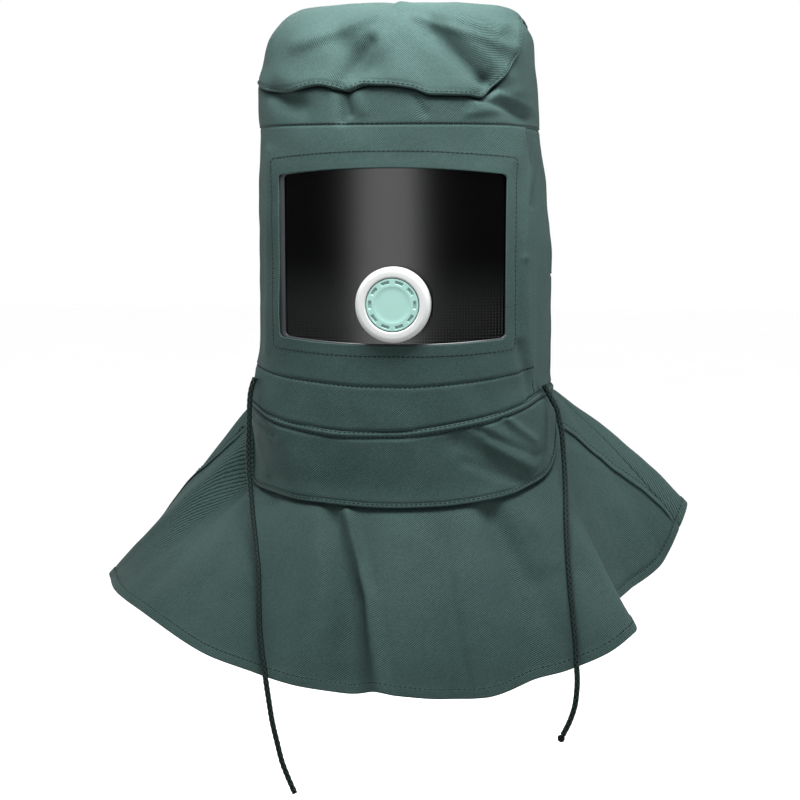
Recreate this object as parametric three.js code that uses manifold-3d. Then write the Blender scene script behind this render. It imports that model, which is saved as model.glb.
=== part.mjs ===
// A sandblasting hood as it hangs on a worn head: millimetres, +Z up, the face looks along -Y.
// The origin is the inside of the crown's top, where the head carries the hood.
// Every canvas panel is a slice of one curved skin, given by angle round the hood and by height.
import * as THREE from 'three';
import { mergeVertices } from 'three/addons/utils/BufferGeometryUtils.js';
import Module from 'manifold-3d';

const wasm = await Module();
wasm.setup();

// Driving sizes of the hood
const halfWidth = 125;
const frontReach = 118;
const backReach = 140;
const headHeight = 373;
const clothThickness = 1.6;
const seamGap = 0.3;
const uprightSeamGap = 0.8;
const hemSet = 0.8;

// Driving sizes of the seams, measured down from the origin
const bandSeamDrop = 111;
const backSeamDrop = 242;
const casingHeight = 6;
const casingProud = 0.6;
const bibTopGap = 0.8;

// Driving sizes of the window and what lies in it
const windowHalfWidth = 98.5;
const windowTop = 147;
const windowHeight = 151.5;
const windowArch = 6;
const windowCorner = 7;
const trimLip = 2.6;
const trimHold = 6;
const trimThickness = 1.2;
const paneHold = 9;
const paneThickness = 1;

// Driving sizes of the valve
const valveX = 6;
const valveDiameter = 65;
const valveHeight = 12;
const valveLipRadius = 4;
const valveFloor = 4;
const capDiameter = 46;
const capHeight = 7;
const slotCount = 10;
const slotRing = 19.5;
const slotWidth = 2.6;
const slotLength = 7;
const slotDepth = 3;
const spigotDiameter = 40;
const spigotBore = 34;
const spigotLength = 9;
const nutDiameter = 50;
const nutThickness = 3;
const fitClearance = 0.4;

// Driving sizes of the cape, the lining and the drawstring
const capeHalfWidth = 286;
const capeDrop = 580;
const liningInset = 5.2;
const liningFoot = 328;
const liningThickness = 1;
const cordDiameter = 5;
const knobDiameter = 6.5;
const cordSides = 8;
const cordStep = 2.8;

// The panels' edges, in degrees round the hood from the front towards +X
const faceEdge = 64;
const gussetEdge = 88;
const bibLeft = -86;
const bibRight = 84;
const shoulderLeft = -103;
const shoulderRight = 98;

// Sections of the skin from the top down: down is a share of headHeight, left and right are shares of
// halfWidth, front of frontReach, back of backReach, and square is the roundness of the corners
const sections = [
  { down: -0.0043, left: 0, right: 0, front: 0, back: 0, square: 2.4 },
  { down: 0.001, left: 0.4, right: 0.42, front: 0.28, back: 0.3, square: 2.4 },
  { down: 0.007, left: 0.72, right: 0.74, front: 0.5, back: 0.55, square: 2.4 },
  { down: 0.021, left: 0.82, right: 0.82, front: 0.65, back: 0.7, square: 2.5 },
  { down: 0.045, left: 0.895, right: 0.865, front: 0.77, back: 0.81, square: 2.6 },
  { down: 0.083, left: 0.97, right: 0.92, front: 0.87, back: 0.9, square: 2.7 },
  { down: 0.145, left: 1.015, right: 0.94, front: 0.94, back: 0.96, square: 2.8 },
  { down: 0.21, left: 1.045, right: 0.96, front: 0.985, back: 0.98, square: 2.9 },
  { down: 0.3, left: 1.035, right: 0.97, front: 0.99, back: 1, square: 3 },
  { down: 0.43, left: 1.04, right: 1.02, front: 1, back: 1, square: 3.1 },
  { down: 0.617, left: 1.04, right: 1.065, front: 1, back: 1.02, square: 3.1 },
  { down: 0.777, left: 1.04, right: 1.06, front: 1.005, back: 1.02, square: 3 },
  { down: 0.885, left: 1.09, right: 1.06, front: 1.015, back: 1, square: 2.8 },
  { down: 0.965, left: 1.15, right: 1.12, front: 1.03, back: 1, square: 2.6 },
  { down: 1.07, left: 1.11, right: 1.16, front: 1.045, back: 1.01, square: 2.5 },
  { down: 1.2, left: 1.1, right: 1.2, front: 1.06, back: 1.03, square: 2.4 },
];

// Lower edge of the top panel round the hood: angle in degrees, down as a share of headHeight
const lidEdge = [
  { angle: -180, down: 0.13 },
  { angle: -120, down: 0.17 },
  { angle: -68, down: 0.19 },
  { angle: -52, down: 0.213 },
  { angle: -40, down: 0.217 },
  { angle: -28, down: 0.207 },
  { angle: -16, down: 0.221 },
  { angle: -9, down: 0.209 },
  { angle: 0, down: 0.209 },
  { angle: 11, down: 0.217 },
  { angle: 18, down: 0.231 },
  { angle: 37, down: 0.232 },
  { angle: 44, down: 0.209 },
  { angle: 49, down: 0.18 },
  { angle: 57, down: 0.134 },
  { angle: 65, down: 0.08 },
  { angle: 79, down: 0.045 },
  { angle: 120, down: 0.055 },
  { angle: 180, down: 0.13 },
];

// Lower edge of the face panel, in the same columns
const faceFoot = [
  { angle: -64, down: 0.861 },
  { angle: -48, down: 0.876 },
  { angle: -30, down: 0.887 },
  { angle: -8, down: 0.896 },
  { angle: 8, down: 0.896 },
  { angle: 30, down: 0.886 },
  { angle: 48, down: 0.871 },
  { angle: 64, down: 0.858 },
];

// The neck seam all round, where the casing starts
const neckSeam = [
  { angle: -180, down: 0.95 },
  { angle: -120, down: 0.96 },
  { angle: -90, down: 0.95 },
  { angle: -64, down: 0.948 },
  { angle: -50, down: 0.971 },
  { angle: -35, down: 0.989 },
  { angle: -16, down: 1 },
  { angle: 4, down: 0.998 },
  { angle: 20, down: 0.986 },
  { angle: 38, down: 0.965 },
  { angle: 55, down: 0.938 },
  { angle: 66, down: 0.922 },
  { angle: 90, down: 0.917 },
  { angle: 120, down: 0.927 },
  { angle: 180, down: 0.95 },
];

// The bib's folded lower edge
const bibFoot = [
  { angle: -96, down: 0.9 },
  { angle: -88, down: 0.975 },
  { angle: -81, down: 1.05 },
  { angle: -73, down: 1.155 },
  { angle: -50, down: 1.161 },
  { angle: -32, down: 1.169 },
  { angle: 0, down: 1.177 },
  { angle: 20, down: 1.172 },
  { angle: 36, down: 1.161 },
  { angle: 53, down: 1.142 },
  { angle: 66, down: 1.108 },
  { angle: 73, down: 1.065 },
  { angle: 80, down: 1 },
  { angle: 86, down: 0.945 },
  { angle: 94, down: 0.89 },
];

// Folds of the front, each a straight run seen from the front: x as shares of halfWidth, down as shares
// of headHeight, width and depth as shares of halfWidth, with a ridge above zero and a dent below
const frontFolds = [
  { x1: 0.25, down1: 0.06, x2: 0.66, down2: 0.195, width: 0.07, depth: -0.05 },
  { x1: 0.4, down1: 0.04, x2: 0.8, down2: 0.12, width: 0.08, depth: 0.025 },
  { x1: 0.04, down1: 0.02, x2: 0.74, down2: 0.07, width: 0.05, depth: 0.02 },
  { x1: 0.02, down1: 0.03, x2: -0.66, down2: 0.11, width: 0.06, depth: 0.022 },
  { x1: -0.18, down1: 0.17, x2: -0.36, down2: 0.09, width: 0.11, depth: -0.045 },
  { x1: -0.1, down1: 0.1, x2: 0.1, down2: 0.17, width: 0.1, depth: 0.025 },
  { x1: -0.84, down1: 0.215, x2: -0.66, down2: 0.25, width: 0.08, depth: -0.03 },
  { x1: -0.34, down1: 0.21, x2: -0.31, down2: 0.285, width: 0.035, depth: -0.03 },
  { x1: 0.7, down1: 0.2, x2: 0.9, down2: 0.27, width: 0.08, depth: -0.035 },
  { x1: 0.62, down1: 0.25, x2: 0.86, down2: 0.22, width: 0.05, depth: 0.02 },
  { x1: 0.5, down1: 1.02, x2: 0.95, down2: 1.12, width: 0.07, depth: -0.025 },
  { x1: 0.7, down1: 1, x2: 0.95, down2: 1.06, width: 0.06, depth: 0.025 },
  { x1: -0.8, down1: 1.02, x2: -0.6, down2: 1.14, width: 0.12, depth: 0.02 },
];

// Upright folds at the sides: angle and width in degrees, top and foot as shares of headHeight, depth
// as a share of halfWidth
const sideFolds = [
  { angle: 70, width: 9, top: 0.33, foot: 0.93, depth: -0.05 },
  { angle: 63, width: 3.5, top: 0.36, foot: 0.92, depth: 0.02 },
  { angle: 90, width: 6, top: 0.55, foot: 0.96, depth: 0.02 },
  { angle: -70, width: 9, top: 0.33, foot: 0.88, depth: -0.04 },
  { angle: -63, width: 3.5, top: 0.36, foot: 0.92, depth: 0.02 },
  { angle: -112, width: 8, top: 0.5, foot: 0.98, depth: 0.025 },
  { angle: -140, width: 9, top: 0.4, foot: 0.95, depth: -0.02 },
  { angle: 140, width: 9, top: 0.4, foot: 0.95, depth: -0.02 },
];

// Crests and hollows of the cape's hem: reach and bow are shares of capeHalfWidth, down of capeDrop, and bow
// is how far the run from neck to hem stands out of its straight line
const hemFolds = [
  { angle: -180, reach: 0.7, down: 0.985, bow: 0.01 },
  { angle: -164, reach: 0.66, down: 0.98, bow: 0.005 },
  { angle: -147, reach: 0.76, down: 0.965, bow: 0.01 },
  { angle: -131, reach: 0.77, down: 0.955, bow: 0.005 },
  { angle: -115, reach: 0.9, down: 0.94, bow: 0 },
  { angle: -100, reach: 0.965, down: 0.93, bow: 0 },
  { angle: -88, reach: 0.99, down: 0.919, bow: 0 },
  { angle: -77, reach: 0.96, down: 0.921, bow: 0 },
  { angle: -65, reach: 0.895, down: 0.93, bow: 0.005 },
  { angle: -52, reach: 0.825, down: 0.954, bow: 0.005 },
  { angle: -42, reach: 0.8, down: 0.968, bow: 0.01 },
  { angle: -31, reach: 0.74, down: 0.987, bow: 0.01 },
  { angle: -19, reach: 0.715, down: 1, bow: 0.01 },
  { angle: -8, reach: 0.665, down: 1.01, bow: 0 },
  { angle: 0, reach: 0.685, down: 1.003, bow: 0.012 },
  { angle: 6, reach: 0.7, down: 1.006, bow: 0.014 },
  { angle: 18, reach: 0.7, down: 1.012, bow: 0.012 },
  { angle: 28, reach: 0.745, down: 1.006, bow: 0.012 },
  { angle: 38, reach: 0.735, down: 0.993, bow: 0.002 },
  { angle: 47, reach: 0.785, down: 0.977, bow: 0.004 },
  { angle: 55, reach: 0.84, down: 0.957, bow: 0.008 },
  { angle: 61, reach: 0.862, down: 0.937, bow: 0.01 },
  { angle: 68, reach: 0.79, down: 0.93, bow: 0.01 },
  { angle: 77, reach: 0.7, down: 0.93, bow: 0.005 },
  { angle: 85, reach: 0.74, down: 0.915, bow: 0.005 },
  { angle: 93, reach: 0.84, down: 0.885, bow: 0.015 },
  { angle: 98, reach: 0.91, down: 0.83, bow: 0.022 },
  { angle: 103, reach: 0.95, down: 0.797, bow: 0.026 },
  { angle: 113, reach: 0.92, down: 0.81, bow: 0.026 },
  { angle: 127, reach: 0.8, down: 0.87, bow: 0.02 },
  { angle: 141, reach: 0.78, down: 0.92, bow: 0.012 },
  { angle: 157, reach: 0.68, down: 0.965, bow: 0.006 },
  { angle: 168, reach: 0.71, down: 0.975, bow: 0.01 },
  { angle: 180, reach: 0.7, down: 0.985, bow: 0.01 },
];

// The drawstring's free ends: each leaves its side just above the neck seam, lies down the cape and hangs
// past the hem
const leftCordRoute = [
  [-126.5, -74.5, -333], [-128.5, -77, -339.5], [-130, -79, -348], [-130.5, -81, -361.5],
  [-130.5, -83.5, -379], [-130.5, -87, -397], [-129, -92, -414], [-126, -99, -431],
  [-122, -110, -448], [-115.5, -127, -470.5], [-109, -145, -493], [-105.5, -159, -516],
  [-102, -171.5, -539], [-97.5, -182, -558], [-94.5, -188, -569], [-92, -192.5, -579.5],
  [-89, -196, -594], [-86, -197.5, -611], [-82, -198, -628], [-78, -198, -644.5],
  [-73, -198, -658], [-67, -198, -672],
];
const rightCordRoute = [
  [131.5, -39.5, -339.5], [135.5, -41.5, -346], [139.5, -43.5, -353], [144, -46, -361],
  [146.5, -49, -371.5], [149, -52.5, -383.5], [150.5, -57, -398], [152, -63.5, -413.5],
  [153.5, -74, -430.5], [154.5, -89, -448], [156, -104, -467], [158, -117, -486.5],
  [160.5, -129, -507], [163.5, -140, -528.5], [166, -149, -548], [167, -155, -561],
  [168, -159, -572], [168, -162, -583], [166.5, -164, -596.5], [162.5, -165, -609.5],
  [157, -165, -621.5],
];

const canvas = { color: 0x4f7a70, roughness: 0.85, metalness: 0 };
const blackCloth = { color: 0x101212, roughness: 0.8, metalness: 0 };
const greyTrim = { color: 0x3c4444, roughness: 0.3, metalness: 0 };
const clearPane = { color: 0x303638, roughness: 0.08, metalness: 0 };
const whitePlastic = { color: 0xeef2f2, roughness: 0.45, metalness: 0 };
const mintPlastic = { color: 0xa4e6d4, roughness: 0.4, metalness: 0 };
const darkCord = { color: 0x16221e, roughness: 0.9, metalness: 0 };

const radians = THREE.MathUtils.degToRad;
const columnPitch = 6;
const faceRows = 8;

// Stands for the very top of the hood where a panel has no upper edge
const apex = () => 0;

// Slope of a smooth line through a table's column at one row, with no overshoot between rows
function slopeAt(rows, column, key, i) {
  const last = rows.length - 1;
  const run = (j) => (rows[j + 1][column] - rows[j][column]);
  const rise = (j) => (rows[j + 1][key] - rows[j][key]) / run(j);
  if (i === 0) return rise(0);
  if (i === last) return rise(last - 1);
  const before = rise(i - 1);
  const after = rise(i);
  if (before * after <= 0) return 0;
  return 2 * before * after / (before + after);
}

// Value of a table's key at a place along its column
function tableValue(rows, column, key, at) {
  const last = rows.length - 1;
  const place = THREE.MathUtils.clamp(at, rows[0][column], rows[last][column]);
  let i = 0;
  while (i < last - 1 && place > rows[i + 1][column]) i += 1;
  const width = rows[i + 1][column] - rows[i][column];
  const t = (place - rows[i][column]) / width;
  const from = rows[i][key];
  const to = rows[i + 1][key];
  const leave = slopeAt(rows, column, key, i) * width;
  const arrive = slopeAt(rows, column, key, i + 1) * width;
  const t2 = t * t;
  const t3 = t2 * t;
  return (2 * t3 - 3 * t2 + 1) * from + (t3 - 2 * t2 + t) * leave
    + (3 * t2 - 2 * t3) * to + (t3 - t2) * arrive;
}

const steps = sections.map((row, i) => ({ ...row, step: i }));
const lastStep = sections.length - 1;

// The step among the sections at which the skin has come down to a height
function stepAtDrop(drop) {
  let low = 0;
  let high = lastStep;
  for (let i = 0; i < 30; i += 1) {
    const middle = (low + high) / 2;
    if (tableValue(steps, 'step', 'down', middle) * headHeight < drop) low = middle;
    else high = middle;
  }
  return (low + high) / 2;
}

const wrapAngle = (angle) => THREE.MathUtils.euclideanModulo(angle + 180, 360) - 180;

// Distance from the axis of a section at an angle, a superellipse whose four reaches differ
function sectionReach(angle, left, right, front, back, square) {
  const side = Math.sin(radians(angle));
  const ahead = Math.cos(radians(angle));
  const sideReach = side < 0 ? left : right;
  const aheadReach = ahead > 0 ? front : back;
  const sum = Math.abs(side / sideReach) ** square + Math.abs(ahead / aheadReach) ** square;
  return sum ** (-1 / square);
}

// The skin without its folds
function smoothSkin(angle, step) {
  const value = (key) => tableValue(steps, 'step', key, step);
  const tiny = 1e-6;
  const reach = sectionReach(angle, value('left') * halfWidth + tiny, value('right') * halfWidth + tiny,
    value('front') * frontReach + tiny, value('back') * backReach + tiny, value('square'));
  const turn = radians(angle);
  return new THREE.Vector3(reach * Math.sin(turn), -reach * Math.cos(turn), -value('down') * headHeight);
}

// Outward normal of a surface given by angle and a second number, by small differences
function normalOf(surface, angle, along) {
  const turn = 0.05;
  const move = 0.002;
  const across = surface(angle + turn, along).sub(surface(angle - turn, along));
  const down = surface(angle, along + move).sub(surface(angle, along - move));
  return new THREE.Vector3().crossVectors(down, across).normalize();
}

const bell = (distance, width) => Math.exp(-((distance / width) ** 2));

// How far the folds push the skin out at a point of it
function foldDepth(point, angle) {
  const down = -point.z / headHeight;
  const facing = THREE.MathUtils.smoothstep(-point.y, 0, frontReach * 0.5);
  let depth = 0;
  for (const fold of frontFolds) {
    const start = new THREE.Vector2(fold.x1 * halfWidth, fold.down1 * headHeight);
    const end = new THREE.Vector2(fold.x2 * halfWidth, fold.down2 * headHeight);
    const run = end.clone().sub(start);
    const here = new THREE.Vector2(point.x, -point.z).sub(start);
    const share = THREE.MathUtils.clamp(here.dot(run) / run.lengthSq(), 0, 1);
    const away = here.sub(run.multiplyScalar(share)).length();
    depth += facing * fold.depth * halfWidth * bell(away, fold.width * halfWidth);
  }
  for (const fold of sideFolds) {
    const fade = 0.06;
    const inside = THREE.MathUtils.smoothstep(down, fold.top - fade, fold.top + fade)
      * (1 - THREE.MathUtils.smoothstep(down, fold.foot - fade, fold.foot + fade));
    depth += inside * fold.depth * halfWidth * bell(wrapAngle(angle - fold.angle), fold.width);
  }
  return depth;
}

// The skin with its folds: the outer face of every canvas panel above the cape
function skin(angle, step) {
  const at = THREE.MathUtils.clamp(step, 0.01, lastStep - 0.01);
  const point = smoothSkin(angle, at);
  const push = foldDepth(point, angle) * THREE.MathUtils.smoothstep(step, 0, 1);
  return point.addScaledVector(normalOf(smoothSkin, angle, at), push);
}

const skinInside = (angle, step, inset) =>
  skin(angle, step).addScaledVector(normalOf(skin, angle, step), -inset);

const dropAt = (edge, angle) => tableValue(edge, 'angle', 'down', wrapAngle(angle)) * headHeight;

// Closed solid between an outer and an inner grid of points, which may run right round
function solidBetween(outer, inner, closed) {
  const rows = outer.length;
  const columns = outer[0].length;
  const vertices = [];
  for (const grid of [outer, inner]) {
    for (const row of grid) {
      for (const point of row) vertices.push(point.x, point.y, point.z);
    }
  }
  const index = [];
  const name = (layer, i, j) => layer * rows * columns + i * columns + (j % columns);
  const quad = (a, b, c, d) => index.push(a, b, c, a, c, d);
  const spans = closed ? columns : columns - 1;
  for (let i = 0; i < rows - 1; i += 1) {
    for (let j = 0; j < spans; j += 1) {
      quad(name(0, i, j), name(0, i + 1, j), name(0, i + 1, j + 1), name(0, i, j + 1));
      quad(name(1, i, j), name(1, i, j + 1), name(1, i + 1, j + 1), name(1, i + 1, j));
    }
  }
  for (let j = 0; j < spans; j += 1) {
    quad(name(0, 0, j), name(0, 0, j + 1), name(1, 0, j + 1), name(1, 0, j));
    const foot = rows - 1;
    quad(name(0, foot, j), name(1, foot, j), name(1, foot, j + 1), name(0, foot, j + 1));
  }
  if (!closed) {
    for (let i = 0; i < rows - 1; i += 1) {
      const end = columns - 1;
      quad(name(0, i, 0), name(1, i, 0), name(1, i + 1, 0), name(0, i + 1, 0));
      quad(name(0, i, end), name(0, i + 1, end), name(1, i + 1, end), name(1, i, end));
    }
  }
  return cleaned(vertices, index);
}

// Geometry with shared corners joined and triangles without area left out
function cleaned(vertices, index) {
  const raw = new THREE.BufferGeometry();
  raw.setAttribute('position', new THREE.Float32BufferAttribute(vertices, 3));
  raw.setIndex(index);
  const merged = mergeVertices(raw, 1e-3);
  const kept = [];
  const corners = merged.index.array;
  for (let i = 0; i < corners.length; i += 3) {
    const [a, b, c] = [corners[i], corners[i + 1], corners[i + 2]];
    if (a !== b && b !== c && c !== a) kept.push(a, b, c);
  }
  merged.setIndex(kept);
  return merged;
}

// Angles of a panel's columns: its own edges, less half a seam, and whole steps of the pitch between them
function columnAngles(from, to, pitch) {
  if (to - from >= 360) return Array.from({ length: 360 / pitch }, (_, j) => from + j * pitch);
  const edge = THREE.MathUtils.radToDeg(uprightSeamGap / 2 / halfWidth);
  const angles = [from + edge];
  for (let angle = (Math.floor(from / pitch) + 1) * pitch; angle < to - edge; angle += pitch) {
    if (angle > from + edge) angles.push(angle);
  }
  angles.push(to - edge);
  return angles;
}

// Closed solid whose outer and inner faces follow a surface by angle and row
function cloth(from, to, pitch, rows, outerAt, innerAt) {
  const angles = columnAngles(from, to, pitch);
  const grid = (pointAt) => Array.from({ length: rows + 1 }, (_, i) =>
    angles.map((angle) => pointAt(angle, i / rows)));
  return solidBetween(grid(outerAt), grid(innerAt), to - from >= 360);
}

// Slice of the skin between two angles and two drops, each of which may change with the angle
function panel({ from, to, top, foot, rows, pitch = columnPitch, inset = 0, thickness = clothThickness }) {
  const stepFor = (angle, share) => (top === apex
    ? stepAtDrop(foot(angle)) * share
    : stepAtDrop(THREE.MathUtils.lerp(top(angle), foot(angle), share)));
  return cloth(from, to, pitch, rows,
    (angle, share) => skinInside(angle, stepFor(angle, share), inset),
    (angle, share) => skinInside(angle, stepFor(angle, share), inset + thickness));
}

// Joining and cutting of closed solids
function toManifold(geometry) {
  const bare = new THREE.BufferGeometry();
  bare.setAttribute('position', geometry.getAttribute('position').clone());
  if (geometry.index) bare.setIndex(geometry.index.clone());
  const merged = mergeVertices(bare, 1e-4);
  return new wasm.Manifold(new wasm.Mesh({
    numProp: 3,
    vertProperties: Float32Array.from(merged.attributes.position.array),
    triVerts: Uint32Array.from(merged.index.array),
  }));
}

function toGeometry(solid) {
  const mesh = solid.getMesh();
  return cleaned(Array.from(mesh.vertProperties), Array.from(mesh.triVerts));
}

const cut = (body, ...tools) =>
  toGeometry(tools.reduce((left, tool) => left.subtract(toManifold(tool)), toManifold(body)));

// Outline of the window opening, grown or shrunk all round: straight-looking sides, arched top and foot
function windowOutline(grow) {
  const half = windowHalfWidth + grow;
  const top = -windowTop + grow;
  const foot = -windowTop - windowHeight - grow;
  const corner = windowCorner + Math.max(grow, 0);
  const outline = new THREE.Shape();
  outline.moveTo(-half, top - windowArch - corner);
  outline.quadraticCurveTo(-half, top - windowArch, -half + corner, top - windowArch + 1);
  outline.quadraticCurveTo(0, top + windowArch, half - corner, top - windowArch + 1);
  outline.quadraticCurveTo(half, top - windowArch, half, top - windowArch - corner);
  outline.lineTo(half, foot + windowArch + corner);
  outline.quadraticCurveTo(half, foot + windowArch, half - corner, foot + windowArch - 1);
  outline.quadraticCurveTo(0, foot - windowArch, -half + corner, foot + windowArch - 1);
  outline.quadraticCurveTo(-half, foot + windowArch, -half, foot + windowArch + corner);
  outline.closePath();
  return outline;
}

// The window's outline pushed from front to back through the face
function windowPrism(grow) {
  const prism = new THREE.ExtrudeGeometry(windowOutline(grow), {
    depth: frontReach, bevelEnabled: false, curveSegments: 4,
  });
  prism.rotateX(Math.PI / 2);
  prism.translate(0, -frontReach * 0.25, 0);
  return prism;
}

// Profile of radius and height turned round the valve's axis, which points out of the face
function turned(profile, radialSegments) {
  const points = profile.map(([radius, height]) => new THREE.Vector2(radius, height));
  const lathe = new THREE.LatheGeometry([...points, points[0].clone()], radialSegments);
  lathe.rotateX(Math.PI);
  return lathe;
}

// Place of the skin's inside at a point of the face seen from the front
function faceY(x, z, inset) {
  const step = stepAtDrop(-z);
  let angle = 0;
  for (let i = 0; i < 12; i += 1) {
    const point = skinInside(angle, step, inset);
    angle += THREE.MathUtils.radToDeg((x - point.x) / frontReach);
  }
  return skinInside(angle, step, inset).y;
}

const trimInset = clothThickness + seamGap;
const paneInset = trimInset + trimThickness + seamGap;
const valveZ = -(windowTop + windowHeight - trimLip) + valveDiameter / 2 + fitClearance;

// Places of the pane's front or back under a round rim on the valve's axis
function paneUnder(diameter, inset) {
  const turns = [0, 1, 2, 3, 4, 5, 6, 7].map((i) => i * Math.PI / 4);
  const rim = turns.map((turn) => faceY(valveX + Math.cos(turn) * diameter / 2,
    valveZ + Math.sin(turn) * diameter / 2, inset));
  return [faceY(valveX, valveZ, inset), ...rim];
}

const valveSeatY = Math.min(...paneUnder(valveDiameter, paneInset)) - seamGap;
const nutSeatY = Math.max(...paneUnder(nutDiameter, paneInset + paneThickness)) + seamGap;

function crownTop() {
  return panel({
    from: -180, to: 180, rows: 6,
    top: apex, foot: (angle) => dropAt(lidEdge, angle),
  });
}

function crownBand() {
  return panel({
    from: -180, to: 180, rows: 2,
    top: (angle) => dropAt(lidEdge, angle) + seamGap, foot: () => bandSeamDrop,
  });
}

function facePanel() {
  const whole = panel({
    from: -faceEdge, to: faceEdge, rows: faceRows,
    top: () => bandSeamDrop + seamGap, foot: (angle) => dropAt(faceFoot, angle),
  });
  return cut(whole, windowPrism(0));
}

// The layers behind the opening are cut from one patch of the skin's inside
function windowLayer(inset, thickness, outerGrow) {
  const patch = panel({
    from: -faceEdge, to: faceEdge, rows: faceRows, inset, thickness,
    top: () => bandSeamDrop + seamGap, foot: (angle) => dropAt(faceFoot, angle),
  });
  return toManifold(patch).intersect(toManifold(windowPrism(outerGrow)));
}

function valveHole(diameter) {
  const hole = new THREE.CylinderGeometry(diameter / 2, diameter / 2, frontReach, 40);
  hole.translate(valveX, valveSeatY, valveZ);
  return hole;
}

function windowTrim() {
  const ring = windowLayer(trimInset, trimThickness, trimHold).subtract(toManifold(windowPrism(-trimLip)));
  return toGeometry(ring);
}

function windowPane() {
  const sheet = windowLayer(paneInset, paneThickness, paneHold);
  return toGeometry(sheet.subtract(toManifold(valveHole(spigotDiameter + 2 * fitClearance))));
}

function valveBody() {
  const outer = valveDiameter / 2;
  const seat = capDiameter / 2 + fitClearance;
  const spigot = spigotDiameter / 2;
  const hollow = spigotBore / 2;
  const lip = [];
  for (let i = 0; i <= 4; i += 1) {
    const turn = (i / 4) * Math.PI / 2;
    lip.push([outer - valveLipRadius + valveLipRadius * Math.cos(turn),
      valveHeight - valveLipRadius + valveLipRadius * Math.sin(turn)]);
  }
  const profile = [
    [hollow, -spigotLength], [spigot, -spigotLength], [spigot, 0], [outer, 0],
    ...lip, [seat, valveHeight - 1], [seat, valveFloor], [hollow, valveFloor],
  ];
  return turned(profile, 32).translate(valveX, valveSeatY, valveZ);
}

function valveCap() {
  const outer = capDiameter / 2;
  const base = valveFloor + seamGap;
  const top = base + capHeight;
  const disc = turned([[0, base], [outer, base], [outer, top - 1.5], [outer - 1.5, top], [0, top]], 36);
  const tools = [];
  for (let i = 0; i < slotCount; i += 1) {
    const slot = new THREE.BoxGeometry(slotLength, 2 * slotDepth, slotWidth);
    slot.translate(0, -top, slotRing);
    slot.rotateY((i + 0.5) * 2 * Math.PI / slotCount);
    tools.push(slot);
  }
  return cut(disc, ...tools).translate(valveX, valveSeatY, valveZ);
}

function valveNut() {
  const inner = spigotDiameter / 2 + fitClearance;
  const outer = nutDiameter / 2;
  const profile = [[inner, -nutThickness], [outer, -nutThickness], [outer, 0], [inner, 0]];
  return turned(profile, 28).translate(valveX, nutSeatY, valveZ);
}

function innerLining() {
  return panel({
    from: gussetEdge, to: 360 - gussetEdge, rows: 3, inset: liningInset,
    thickness: liningThickness, top: () => bandSeamDrop, foot: () => liningFoot,
  });
}

function gusset(side) {
  return panel({
    from: side > 0 ? faceEdge : -gussetEdge, to: side > 0 ? gussetEdge : -faceEdge, rows: 8,
    top: () => bandSeamDrop + seamGap, foot: (angle) => dropAt(neckSeam, angle),
  });
}

function backPanel(top, foot, rows) {
  return panel({ from: gussetEdge, to: 360 - gussetEdge, rows, top, foot });
}

function chinBand() {
  return panel({
    from: -faceEdge, to: faceEdge, rows: 2,
    top: (angle) => dropAt(faceFoot, angle) + seamGap, foot: (angle) => dropAt(neckSeam, angle),
  });
}

function neckCasing() {
  return panel({
    from: -180, to: 180, rows: 1, inset: -casingProud, thickness: clothThickness + casingProud,
    top: (angle) => dropAt(neckSeam, angle) + seamGap,
    foot: (angle) => dropAt(neckSeam, angle) + casingHeight,
  });
}

function bib() {
  return panel({
    from: bibLeft, to: bibRight, rows: 3, pitch: columnPitch / 2,
    top: (angle) => dropAt(neckSeam, angle) + casingHeight + bibTopGap,
    foot: (angle) => dropAt(bibFoot, angle),
  });
}

// The line at which the cape starts: under the bib's edge in front, below the casing elsewhere
function capeTopDrop(angle) {
  const turn = wrapAngle(angle);
  const casingFoot = dropAt(neckSeam, turn) + casingHeight;
  return Math.max(casingFoot, dropAt(bibFoot, turn)) + seamGap;
}

// The cape's outer face: bowed runs from the neck to the hem, with the hem's folds dying out upwards
function capeSkin(angle, along) {
  const turn = wrapAngle(angle);
  const start = skinInside(angle, stepAtDrop(capeTopDrop(angle)), hemSet);
  const value = (key) => tableValue(hemFolds, 'angle', key, turn);
  const out = new THREE.Vector3(Math.sin(radians(turn)), -Math.cos(radians(turn)), 0);
  const hem = out.clone().multiplyScalar(value('reach') * capeHalfWidth).setZ(-value('down') * capeDrop);
  const bow = 4 * along * (1 - along) * value('bow') * capeHalfWidth;
  return start.lerp(hem, along).addScaledVector(out, bow);
}

function capeHalf(from, to) {
  const under = (angle, along) => normalOf(capeSkin, angle, THREE.MathUtils.clamp(along, 0.01, 1))
    .multiplyScalar(-clothThickness).add(capeSkin(angle, along));
  return cloth(from, to, columnPitch / 2, 3, capeSkin, under);
}

const cordCurve = (route) => new THREE.CatmullRomCurve3(route.map((place) => new THREE.Vector3(...place)));

function cord(route) {
  const curve = cordCurve(route);
  const section = new THREE.Shape();
  for (let i = 0; i < cordSides; i += 1) {
    const turn = i * 2 * Math.PI / cordSides;
    const x = Math.cos(turn) * cordDiameter / 2;
    const y = Math.sin(turn) * cordDiameter / 2;
    if (i === 0) section.moveTo(x, y);
    else section.lineTo(x, y);
  }
  section.closePath();
  const steps = Math.round(curve.getLength() / (cordStep * cordDiameter));
  return new THREE.ExtrudeGeometry(section, { steps, extrudePath: curve, bevelEnabled: false });
}

// Melted knob that ends the right cord, just clear of its last point
function cordKnob(route) {
  const [before, end] = route.slice(-2).map((place) => new THREE.Vector3(...place));
  const onwards = end.clone().sub(before).normalize();
  const centre = end.clone().addScaledVector(onwards, knobDiameter / 2 + seamGap);
  return new THREE.SphereGeometry(knobDiameter / 2, 10, 7).translate(centre.x, centre.y, centre.z);
}

const group = new THREE.Group();

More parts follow.
